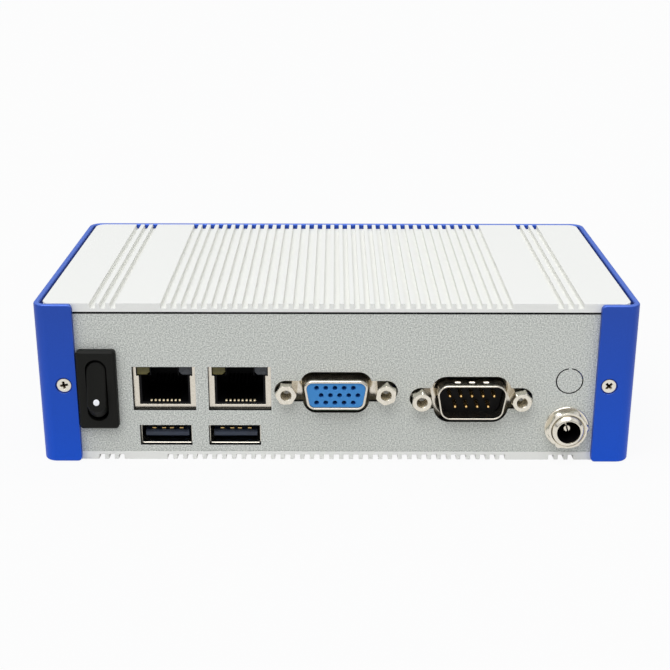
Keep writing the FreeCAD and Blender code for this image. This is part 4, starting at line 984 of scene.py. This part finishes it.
def shell_rows(x, z, width, height, sheet, corner, turned_in, foot):
    """Rim rolled in by turned_in, drawn wall, foot radius, flange, and back up the inside."""
    outer = corner_arcs(d_corners(x, z, width, height), corner, 8, 6)
    plate = corner_arcs(box_corners(x, z, FLANGE_WIDTH, FLANGE_HEIGHT), FLANGE_CORNERS, 8, 6)
    rim = sheet + turned_in - SHEET_EDGE
    front = bend(rim, MOUTH + rim, rim, 270, 180) + bend(-foot, FLANGE_FRONT - foot, foot, 0, 90)
    edge = [(0.25, FLANGE_FRONT), (0.0, FLANGE_FRONT + SHEET_EDGE), (0.0, FLANGE_BACK - SHEET_EDGE),
            (SHEET_EDGE, FLANGE_BACK)]
    inside = [(sheet, FLANGE_BACK), (sheet, MOUTH + 0.4 + 2 * turned_in)]
    inside += bend(rim, MOUTH + SHEET_EDGE, SHEET_EDGE, 0, -90, 4)
    return np.concatenate([carry(outer, front), carry(plate, edge), carry(outer, inside)])


print("flange's face at Y", round(float(FLANGE_FRONT), 2), "mm, mouth at", round(float(MOUTH), 2), "mm")

# %% [markdown]
# ### The video shell
#
# A socket's shell has to slide inside its plug's, so it is the smaller of the two and its rim is rolled in.
# The flange has a hole for each jackscrew's stud.

# %% Video shell
VIDEO_SHELL = {"width": 16.9, "height": 7.9, "sheet": 0.5, "corner": 2.2, "turned_in": 0.17, "foot": 1.4}
JACK_SPACING = 24.99
FLANGE_HOLE = 1.6        # radius


def d_middle(name):
    """Middle of a D connector: its flange's box is centred on it in X, its screws in Z."""
    low, high = span(name + "_shell")
    jack_low, jack_high = span(name + "_jackscrews")
    return (low[0] + high[0]) / 2, (jack_low[2] + jack_high[2]) / 2


def jack_holes(x, z, radius, front, back, over=0.3):
    """Round holes for the jackscrews' studs, either side of a connector's middle, cut past both faces."""
    return [skin(carry(circle(x + side * JACK_SPACING / 2, z, radius, 24),
                       [(0, front - over), (0, back + over)])) for side in (-1, 1)]


vga_x, vga_z = d_middle("vga")
new_piece("video_shell", [skin(shell_rows(vga_x, vga_z, **VIDEO_SHELL), ring=True)], "nickel_shell",
          stands_for=["vga_shell"], sharp=28,
          holes=jack_holes(vga_x, vga_z, FLANGE_HOLE, FLANGE_FRONT, FLANGE_BACK))

# %% [markdown]
# ### Dimples on the serial shell
#
# The plug's shell is thinner and straight at the rim. Six dimples are pressed into it so that it grips the
# socket that goes inside. Each is a small trough that starts shallow at the front and ends in a steep wall,
# and that wall catches the light.

# %% Serial shell
SERIAL_SHELL = {"width": 18.3, "height": 9.2, "sheet": 0.42, "corner": 2.7, "turned_in": 0.0, "foot": 1.0}
DIMPLE_WIDE = 1.7
DIMPLE_DEEP = 0.3
DIMPLE_PITCH = 3.55
DIMPLE_FRONT = MOUTH + 2.0


def dimples(x, z, height):
    """Troughs across the top and bottom faces: inset 0 where deepest, more along the front's slope."""
    trough = [(0.27, DIMPLE_FRONT), (0.0, DIMPLE_FRONT + 0.55), (0.0, DIMPLE_FRONT + 0.75),
              (0.25, DIMPLE_FRONT + 0.95)]
    return [skin(carry(corner_arcs(box_corners(x + place, z + side * height / 2, DIMPLE_WIDE,
                                               2 * DIMPLE_DEEP), 0.28, 4), trough))
            for side in (-1, 1) for place in (-DIMPLE_PITCH, 0, DIMPLE_PITCH)]


serial_x, serial_z = d_middle("serial")
new_piece("serial_plug_shell", [skin(shell_rows(serial_x, serial_z, **SERIAL_SHELL), ring=True)],
          "nickel_shell", stands_for=["serial_shell"], sharp=28,
          holes=(jack_holes(serial_x, serial_z, FLANGE_HOLE, FLANGE_FRONT, FLANGE_BACK)
                 + dimples(serial_x, serial_z, SERIAL_SHELL["height"])))

# %% [markdown]
# ### The video insert
#
# The blue core fills the shell just behind the rim. Every contact hole opens with a small lead-in, which is
# what makes the holes look larger than the pins they take. Each is a closed cone with a straight shank, and
# all fifteen are cut out of the core in one go.

# %% Contact holes
VIDEO_FACE = MOUTH + 0.25
HOLE_PITCH = 2.29
HOLE_ROW = 1.98
ROWS_RIGHT = 0.29        # the rows' common middle, right of the shell's
ROW_SHIFT = 0.58         # middle row to the right of that, the other two to the left
CONTACT_HOLE = 0.6       # radius
LEAD_IN = 0.06
HOLE_DEEP = 4.0


def contact_holes():
    """Fifteen holes in three rows of five; each opens out at the face by the lead-in."""
    holes = []
    for row in (-1, 0, 1):
        for place in range(-2, 3):
            x = vga_x + ROWS_RIGHT + (ROW_SHIFT if row == 0 else -ROW_SHIFT) + place * HOLE_PITCH
            outline = circle(x, vga_z + row * HOLE_ROW, CONTACT_HOLE, 20)
            cone = [(-LEAD_IN - 0.2, VIDEO_FACE - 0.2), (0, VIDEO_FACE + LEAD_IN)]
            holes.append(skin(carry(outline, cone + [(0, VIDEO_FACE + HOLE_DEEP)])))
    return holes


print(len(contact_holes()), "contact holes")

# %% [markdown]
# The core is one moulding with a block behind the flange and an ear at either side, where the jackscrews'
# studs pass. The blocks would share faces with each other, which an exact cut dislikes, so a hundredth of a
# millimetre is left between them.

# %% Video insert
CORE_WIDE = VIDEO_SHELL["width"] - 2 * VIDEO_SHELL["sheet"] - 0.02
CORE_HIGH = VIDEO_SHELL["height"] - 2 * VIDEO_SHELL["sheet"] - 0.02
CORE_CORNER = 1.7
BLOCK_HALF = 10.5        # half the width of the block behind the flange
EAR_HALF = 2.8           # half the height of an ear
EAR_DEEP = 4.0
STUD_HOLE = 1.34         # radius
APART = 0.01             # left between blocks of one moulding that would share a face


def video_moulding():
    """Core with a soft edge at the face, block behind the flange, one ear at either side."""
    low, high = span("vga_insert")
    core = corner_arcs(d_corners(vga_x, vga_z, CORE_WIDE, CORE_HIGH), CORE_CORNER, 6, 2)
    rows = carry(core, [(0.3, VIDEO_FACE), (0.22, VIDEO_FACE + 0.06), (0.22, VIDEO_FACE + 0.8),
                        (0, VIDEO_FACE + 1.1), (0, FLANGE_BACK)])
    behind = FLANGE_BACK + APART
    skins = [skin(rows), box_skin((vga_x - BLOCK_HALF, behind, low[2]),
                                  (vga_x + BLOCK_HALF, high[1], high[2]))]
    for near, far in ((low[0], vga_x - BLOCK_HALF - APART), (vga_x + BLOCK_HALF + APART, high[0])):
        skins.append(box_skin((near, behind, vga_z - EAR_HALF),
                              (far, FLANGE_BACK + EAR_DEEP, vga_z + EAR_HALF)))
    return skins


new_piece("video_insert", video_moulding(), "blue_plastic", stands_for=["vga_insert"],
          holes=contact_holes() + jack_holes(vga_x, vga_z, STUD_HOLE, FLANGE_BACK,
                                             FLANGE_BACK + EAR_DEEP, over=0.5))

# %% [markdown]
# ### Serial pins
#
# Nine turned pins, each with a bullet tip so that it finds its hole.

# %% Serial pins
PIN = 0.5                # radius
PIN_PITCH = 2.77


def bullet_pins():
    """Five pins above four; the tip's radius follows a quarter ellipse twice as long as it is wide."""
    low, high = span("serial_pins")
    angle = np.linspace(0.25, np.pi / 2, 7)
    tip = np.stack([PIN * (1 - np.sin(angle)), low[1] + 2 * PIN * (1 - np.cos(angle))], 1).tolist()
    pins = []
    for count, z in ((5, high[2] - PIN), (4, low[2] + PIN)):
        for place in range(count):
            x = serial_x + (place - (count - 1) / 2) * PIN_PITCH
            pins.append(skin(carry(circle(x, z, PIN, 20), tip + [(0, high[1])])))
    return pins


new_piece("bullet_pins", bullet_pins(), "gold_contact", stands_for=["serial_pins"])

# %% [markdown]
# ### Jackscrews
#
# A jackscrew is turned from hexagonal bar: the lathe chamfers the corners of its face into a circle, bores
# it and taps the bore. The same outline points serve for the hexagon outside and the circles inside. The
# thread is a wave on the bore's radius that climbs one pitch in a turn.

# %% Jackscrews
JACK_FLATS = 4.75
JACK_FRONT = PANEL - 3.0
JACK_UNCUT = 3.0         # beyond the hexagon's corners, so nothing is turned away
THREAD_BORE = 1.2        # radius at the crests
THREAD_DEEP = 4.5
THREAD_PITCH = 0.64
THREAD_WAVE = 0.16
BORE_MOUTH = 1.46        # radius of the lead into the bore
STUD = 1.3               # radius
STUD_BACK = FLANGE_BACK + 3.95


def jackscrew(x, z, turn, face_radius):
    """From the drill point out of the tapped bore, over the chamfered face, down the flats to the stud."""
    outline = corner_arcs(hex_corners(x, z, JACK_FLATS, turn), 0.12, 2, 8)
    turns = JACK_FRONT + np.linspace(THREAD_DEEP, 0.3, 64)
    bore = round_rows(outline, [(0.03, JACK_FRONT + THREAD_DEEP + 0.5)])
    thread = round_rows(outline, np.stack([np.full(len(turns), THREAD_BORE), turns], 1),
                        THREAD_WAVE, THREAD_PITCH)
    mouth = round_rows(outline, [(BORE_MOUTH - 0.08, JACK_FRONT + 0.05), (BORE_MOUTH, JACK_FRONT)])
    seat = FLANGE_FRONT - APART
    flats = carry(outline, [(0, JACK_FRONT), (0, JACK_FRONT + 0.04), (0, JACK_FRONT + 0.5), (0, seat)],
                  [face_radius, face_radius + 0.08, JACK_UNCUT, JACK_UNCUT])
    stud = round_rows(outline, [(STUD, seat), (STUD, STUD_BACK - 0.25), (STUD - 0.2, STUD_BACK)])
    return skin(np.concatenate([bore, thread, mouth, flats, stud]))


for name, x, z, turns, face_radius in (("vga", vga_x, vga_z, (0, 22), 2.5),
                                       ("serial", serial_x, serial_z, (28, 8), 2.25)):
    pair = [jackscrew(x + side * JACK_SPACING / 2, z, turn, face_radius)
            for side, turn in zip((-1, 1), turns)]
    new_piece(name + "_hex_posts", pair, "nickel_turned", stands_for=[name + "_jackscrews"], sharp=25)

# %% [markdown]
# ## The power inlet
#
# The barrel is a turned brass bush, threaded outside from just behind its mouth and held by a thin nut over
# a plain washer. Its rim is narrow and polished and slopes back into the thread. Behind the panel it has a
# shoulder, and a pocket inside takes the liner.

# %% Power bush
barrel_low, barrel_high = span("dc_barrel")
dc_x = (barrel_low[0] + barrel_high[0]) / 2
dc_z = (barrel_low[2] + barrel_high[2]) / 2
BARREL_MOUTH = barrel_low[1]
BORE = 2.93              # these four are radii
BUSH = 4.0
SHOULDER = 5.0
POCKET = 3.37
BUSH_PITCH = 0.5
BUSH_THREAD = 0.16
PANEL_THICK = 1.2
round_outline = circle(dc_x, dc_z, 1.0, 72)


def barrel_rows():
    """Mouth, sloped rim and fine thread, then the shoulder behind the panel and the pocket inside."""
    panel_back = PANEL + PANEL_THICK
    depth = np.arange(BARREL_MOUTH + 0.62, panel_back - 0.3, BUSH_PITCH / 8)
    thread = np.stack([np.full(len(depth), BUSH - BUSH_THREAD), depth], 1)
    lead = [(BORE, BARREL_MOUTH + 0.5), (BORE, BARREL_MOUTH + 0.1), (BORE + 0.05, BARREL_MOUTH + 0.02),
            (BORE + 0.12, BARREL_MOUTH), (BORE + 0.24, BARREL_MOUTH), (BORE + 0.42, BARREL_MOUTH + 0.1),
            (BUSH - 0.2, BARREL_MOUTH + 0.5)]
    body = [(BUSH - 0.05, panel_back - 0.2), (BUSH, panel_back), (SHOULDER, panel_back),
            (SHOULDER, barrel_high[1]), (POCKET, barrel_high[1]), (POCKET, BARREL_MOUTH + 0.5)]
    return np.concatenate([round_rows(round_outline, lead),
                           round_rows(round_outline, thread, BUSH_THREAD, BUSH_PITCH),
                           round_rows(round_outline, body)])


new_piece("power_bush", [skin(barrel_rows(), ring=True)], "nickel_turned", stands_for=["dc_barrel"],
          sharp=35)

# %% [markdown]
# ### Nut and washer
#
# The nut is cut from hexagonal bar like the jackscrews, so its corners are chamfered round in the same way.
# The washer is a plain ring whose front edge was tumbled soft.

# %% Nut and washer
NUT_FLATS = 9.7
NUT_TURN = 5.0           # degrees
NUT_CHAMFER = 0.55       # how far the chamfer's circle grows past the flats
FIT = 0.05               # clearance on the bush
WASHER_SOFT = 0.14


def nut_rows():
    """Chamfered hexagon outside, round bore inside, closed as a ring."""
    low, high = span("dc_nut")
    front, back = low[1], high[1]
    hexagon = corner_arcs(hex_corners(dc_x, dc_z, NUT_FLATS, NUT_TURN), 0.2, 3, 12)
    bore = round_rows(hexagon, [(BUSH + FIT, back), (BUSH + FIT, front + 0.3), (BUSH + 0.3, front)])
    half = NUT_FLATS / 2
    wide = half + NUT_CHAMFER
    outside = carry(hexagon, [(0, front), (0, front + 0.08), (0, front + 0.62), (0, back - 0.15),
                              (0, back)], [half - 0.12, half, wide, wide, wide - 0.15])
    return np.concatenate([bore, outside])


def washer_rows():
    """Plain ring with a broken front edge: bore, face, edge and rim are five circles."""
    low, high = span("dc_washer")
    wide = (high[0] - low[0]) / 2
    return round_rows(round_outline, [(BUSH + FIT, high[1]), (BUSH + FIT, low[1]),
                                      (wide - WASHER_SOFT, low[1]), (wide, low[1] + WASHER_SOFT),
                                      (wide, high[1])])


new_piece("power_nut", [skin(nut_rows(), ring=True)], "nickel_turned", stands_for=["dc_nut"], sharp=24)
new_piece("power_washer", [skin(washer_rows(), ring=True)], "nickel_turned", stands_for=["dc_washer"])

# %% [markdown]
# ### The pin
#
# In the bore stands a pin with a flat tip and a rounded edge. It is sawn in two so that its halves spring
# apart and press on the plug. The saw's cut leans as the pin happened to be fitted.

# %% Split pin
DC_PIN = 1.0             # radius
TIP_ROUND = 0.3
SAW_HALF = 0.2           # half the cut's width
SAW_REACH = 1.6          # half its height, which passes the pin's side
SAW_DEEP = 3.0
SAW_TURN = 16.0          # degrees from upright


def split_pin():
    """Turned pin whose tip's edge is a quarter circle: radius r - t + t sin a, depth t (1 - cos a)."""
    low, high = span("dc_pin")
    angle = np.linspace(0, np.pi / 2, 6)
    tip = np.stack([DC_PIN - TIP_ROUND + TIP_ROUND * np.sin(angle),
                    low[1] + TIP_ROUND * (1 - np.cos(angle))], 1).tolist()
    return skin(round_rows(circle(dc_x, dc_z, 1.0, 40), tip + [(DC_PIN, high[1])]))


def saw_cut():
    """Thin slab through the pin's tip: an upright rectangle turned by the saw's lean."""
    tip = span("dc_pin")[0][1]
    slab = np.array([[-1, -1], [1, -1], [1, 1], [-1, 1]]) * np.array([SAW_HALF, SAW_REACH])
    lean = math.radians(SAW_TURN)
    turn = np.array([[math.cos(lean), -math.sin(lean)], [math.sin(lean), math.cos(lean)]])
    corners = slab @ turn.T + np.array([dc_x, dc_z])
    return [skin(carry(corner_arcs(corners, 0.05, 2), [(0, tip - 0.5), (0, tip + SAW_DEEP)]))]


new_piece("power_pin", [split_pin()], "nickel_turned", stands_for=["dc_pin"], holes=saw_cut())

# %% [markdown]
# ## The rocker
#
# The rocker is a capsule in outline. It is built level, about its own pivot, and then turned to where it
# rests, with the marked end out.

# %% Rocker's outline and rest
ROCKER_WIDE = 4.8
PIVOT_BACK = 2.6         # behind the panel's face
REST_TILT = math.radians(-13.3)
bezel_low, bezel_high = span("switch_body")
PIVOT = np.array([(bezel_low[0] + bezel_high[0]) / 2, PANEL + PIVOT_BACK,
                  (bezel_low[2] + bezel_high[2]) / 2])


def capsule_rows(profile, steps=20):
    """Rows of a capsule standing along Z, for each (inset, length, y): half circles about two centres."""
    angle = np.linspace(0, np.pi, steps)
    angle = np.concatenate([angle, angle + np.pi])
    upper = np.repeat([1.0, -1.0], steps)
    inset, length, depth = np.array(profile, float).T
    radius = (ROCKER_WIDE / 2 - inset)[:, None]
    centre = (length[:, None] - ROCKER_WIDE) / 2 * upper
    shape = (len(inset), 2 * steps)
    return np.stack([np.broadcast_to(radius * np.cos(angle), shape), np.broadcast_to(depth[:, None], shape),
                     centre + radius * np.sin(angle)], -1)


def at_rest(rows):
    """Turn level rows about X to the rest position and move them onto the pivot."""
    cosine, sine = math.cos(REST_TILT), math.sin(REST_TILT)
    turn = np.array([[1, 0, 0], [0, cosine, -sine], [0, sine, cosine]])
    return rows @ turn.T + PIVOT


print("rocker turns about", PIVOT.round(2), "mm")

# %% [markdown]
# A finger rests in the rocker's face, so the face is slightly hollow, and its ends lean in from the shoulder
# to the face. Behind the shoulder a skirt hides the gap at any tilt. It rides on the rocker's body, so it
# follows the joint.

# %% Rocker
ROCKER_REACH = 5.68      # from the pivot to the face
FACE_LONG = 12.64
FACE_EDGE = 0.45         # radius of the face's rim
HOLLOW = 0.16
SHOULDER_LONG = 15.5
SHOULDER_REACH = 3.5
SKIRT_LONG = 15.9
SKIRT_BACK = 1.6
AXLE = 0.8               # radius


def rocker_skins():
    """Hollow face, rounded rim, leaning ends, skirt; and the axle turned from Y to X.

    The hollow is a parabola in the inset: deepest along the middle, nothing at the rim.
    """
    half = ROCKER_WIDE / 2
    inner = np.linspace(half - 0.05, FACE_EDGE, 9)
    share = (inner - FACE_EDGE) / (half - 0.05 - FACE_EDGE)
    hollow = np.stack([inner, np.full(len(inner), FACE_LONG),
                       -ROCKER_REACH + HOLLOW * (1 - (1 - share) ** 2)], 1)
    angle = np.radians([15, 30, 45, 60, 75, 90])
    fall = FACE_EDGE * (1 - np.cos(angle))
    rim = np.stack([FACE_EDGE * (1 - np.sin(angle)), FACE_LONG + fall, -ROCKER_REACH + fall], 1)
    sides = [(0, SHOULDER_LONG - 0.15, -SHOULDER_REACH - 0.12), (0, SHOULDER_LONG, -SHOULDER_REACH + 0.05),
             (0, SKIRT_LONG, -SHOULDER_REACH + 0.3), (0, SKIRT_LONG, SKIRT_BACK)]
    low, high = span("switch_rocker")
    axle_half = (high[0] - low[0]) / 2
    axle = round_rows(circle(0, 0, 1, 24), [(AXLE - 0.1, -axle_half), (AXLE, -axle_half + 0.1),
                                            (AXLE, axle_half - 0.1), (AXLE - 0.1, axle_half)])
    across = np.array([[0, 1, 0], [-1, 0, 0], [0, 0, 1]])
    return [skin(at_rest(capsule_rows(np.concatenate([hollow, rim, sides])))),
            skin(at_rest(axle @ across.T))]


new_piece("rocker_cap", rocker_skins(), "switch_plastic", stands_for=["switch_rocker"], body="rocker",
          sharp=50)

# %% [markdown]
# ### The white mark
#
# The mark is a dot of thick white ink near the lower end. It is built as a thin domed disc on the level
# rocker and tilted with it, so that it sits in the hollow.

# %% White mark
MARK_RADIUS = 0.85
MARK_DOWN = 3.9          # below the rocker's middle


def white_dot():
    """Disc let into the face, its own face just proud of the hollow and slightly domed."""
    face = -ROCKER_REACH + HOLLOW
    outline = circle(0, -MARK_DOWN, MARK_RADIUS, 40)
    rows = round_rows(outline, [(0.3, face - 0.06), (0.6, face - 0.045), (MARK_RADIUS - 0.06, face - 0.02),
                                (MARK_RADIUS, face + 0.04), (MARK_RADIUS, face + 0.14)])
    return skin(at_rest(rows))


new_piece("rocker_dot", [white_dot()], "white_mark", stands_for=["rocker_mark"], body="rocker", sharp=60)

# %% [markdown]
# ## Network sockets
#
# Two smoked lamps fill the upper corners, olive on the left and clear on the right, each with one corner
# cut back where the latch passes.

# %% Network lamps
LAMP_WIDE = 3.3
LAMP_CUT = 0.8
LAMP_ROUND = 0.3


def lamp_skin(low, high, side):
    """Prism with its inner lower corner cut back and all corners rounded a little."""
    left, right = (low[0], low[0] + LAMP_WIDE) if side < 0 else (high[0] - LAMP_WIDE, high[0])
    corners = [(left, low[2]), (right, low[2]), (right, high[2]), (left, high[2])]
    if side < 0:
        corners[1:2] = [(right - LAMP_CUT, low[2]), (right, low[2] + LAMP_CUT)]
    else:
        corners[0:1] = [(left, low[2] + LAMP_CUT), (left + LAMP_CUT, low[2])]
    outline = corner_arcs(corners, LAMP_ROUND, 4)
    return skin(carry(outline, [(0.35, low[1]), (0.1, low[1] + 0.06), (0, low[1] + 0.2), (0, high[1])]))


lamp_low, lamp_high = span("lan_left_lights")
print("a lamp is", LAMP_WIDE, "mm wide and", round(float((lamp_high - lamp_low)[2]), 2), "mm high")

# %% [markdown]
# ### Contact springs
#
# Below the lamps lie eight springs. Only their front bend is plated, because only that part meets the plug,
# and from there they climb away into the dark. A spring is a flat wire along a path in the YZ plane. Both
# sockets get the same lamps and springs, so one loop builds them at each socket's own place.

# %% Network lamps and springs
SPRINGS = 8
SPRING_PITCH = 1.016
SPRING_WIDE = 0.45
SPRING_THICK = 0.2
SPRING_FORWARD = 1.3     # in front of the contacts' own box
HOOK_ROUND = 0.15        # radius of the bend


def spring_skins(x, low, high):
    """Flat wires: a hook at the mouth, then a straight climb; each row is a rectangle across the path."""
    front = low[1] - SPRING_FORWARD
    floor = low[2]
    turn = np.radians(np.linspace(250, 100, 9))
    hook = np.stack([front + 0.25 + HOOK_ROUND * np.cos(turn), floor + 0.27 + HOOK_ROUND * np.sin(turn)], 1)
    climb = np.stack([np.linspace(front + 0.8, high[1], 6), np.linspace(floor + 0.5, high[2] - 0.2, 6)], 1)
    path = np.concatenate([hook, climb])
    along = np.gradient(path, axis=0)
    along /= np.linalg.norm(along, axis=1)[:, None]
    normal = np.stack([-along[:, 1], along[:, 0]], 1)
    found = []
    for place in range(SPRINGS):
        middle = x + (place - (SPRINGS - 1) / 2) * SPRING_PITCH
        rows = []
        for wide, thick in ((-1, -1), (1, -1), (1, 1), (-1, 1)):
            edge = path + thick * SPRING_THICK / 2 * normal
            rows.append(np.stack([np.full(len(path), middle + wide * SPRING_WIDE / 2), edge[:, 0],
                                  edge[:, 1]], 1))
        found.append(skin(np.stack(rows, 1)))
    return found


for side_name in ("left", "right"):
    low, high = span(f"lan_{side_name}_lights")
    middle = (low[0] + high[0]) / 2
    new_piece(f"lan_{side_name}_olive_lamp", [lamp_skin(low, high, -1)], "lamp_plastic",
              finish=olive_lamp_finish, stands_for=[f"lan_{side_name}_lights"], sharp=60)
    new_piece(f"lan_{side_name}_clear_lamp", [lamp_skin(low, high, 1)], "lamp_plastic",
              finish=clear_lamp_finish, sharp=60)
    low, high = span(f"lan_{side_name}_contacts")
    new_piece(f"lan_{side_name}_springs", spring_skins(middle, low, high), "gold_contact",
              finish=spring_finish, stands_for=[f"lan_{side_name}_contacts"])

# %% [markdown]
# ## USB sockets
#
# The tube is rolled from one sheet, and the sheet's inner edge is broken at 45 degrees all round the mouth,
# so that a plug finds its way in. Below the dark opening that edge looks up and catches the light as a thin
# line. Four legs go up to the board.

# %% USB sockets
USB_WIDE = 13.1
USB_HIGH = 5.7
USB_SHEET = 0.3
USB_DEEP = 14.0
USB_CORNER = 0.6
MOUTH_SLOPE = 0.1
LEG_HALF = 1.1           # half a leg's width


def usb_skins(low, high):
    """Ring of rows through the sloped mouth, and four legs at a quarter and three quarters of the depth."""
    x = (low[0] + high[0]) / 2
    z = low[2] + USB_HIGH / 2
    front, back = low[1], low[1] + USB_DEEP
    outline = corner_arcs(box_corners(x, z, USB_WIDE, USB_HIGH), USB_CORNER, 5)
    rows = carry(outline, [(0.06, front), (0, front + 0.06), (0, back), (USB_SHEET, back),
                           (USB_SHEET, front + MOUTH_SLOPE), (USB_SHEET - MOUTH_SLOPE, front)])
    skins = [skin(rows, ring=True)]
    for side in (-1, 1):
        wall = x + side * (USB_WIDE - USB_SHEET) / 2
        for share in (0.25, 0.75):
            leg = front + USB_DEEP * share
            skins.append(box_skin((wall - USB_SHEET / 2, leg - LEG_HALF, z),
                                  (wall + USB_SHEET / 2, leg + LEG_HALF, high[2]), 0.1))
    return skins


for side_name in ("left", "right"):
    new_piece(f"usb_{side_name}_tube", usb_skins(*span(f"usb_{side_name}_shell")), "nickel_shell",
              finish=tube_finish, stands_for=[f"usb_{side_name}_shell"])

# %% [markdown]
# ## Shadow strip and seal
#
# A thin black strip stands in the gap between the panel's upper edge and the cover as a painted shadow, a
# sharp dark line. Below, the panel meets the lower cover over a strip painted with it.

# %% Shadow strip and seal
COVER_THICK = 2.2
STRIP_DEEP = 1.0         # behind the panel's face
STRIP_ROUND = 0.04
SHADOW_STRIP_LAP = 0.2           # over the panel's upper edge
SHADOW_STRIP_PROUD = 0.04        # in front of the panel's face
SEAL_LAP = 0.02          # over the panel's lower edge
SEAL_BACK = 0.05         # behind the panel's face

panel_low, panel_high = span("io_panel")
lower_cover_top = span("bottom_cover")[1][2]
upper_cover_under = span("top_cover")[1][2] - COVER_THICK


def panel_edge_strip(bottom, top, recess):
    """Thin strip as long as the panel, set back behind its face, or standing proud where negative."""
    return box_skin((panel_low[0], PANEL + recess, bottom), (panel_high[0], PANEL + STRIP_DEEP, top),
                    STRIP_ROUND, 2)


# painted shadow: a black strip stands where the gap between panel and cover is only in shade
new_piece("upper_shadow_strip", [panel_edge_strip(panel_high[2] - SHADOW_STRIP_LAP, upper_cover_under, -SHADOW_STRIP_PROUD)],
          "black_plastic")
new_piece("lower_seal_strip", [panel_edge_strip(lower_cover_top, panel_low[2] + SEAL_LAP, SEAL_BACK)],
          "grey_coated")
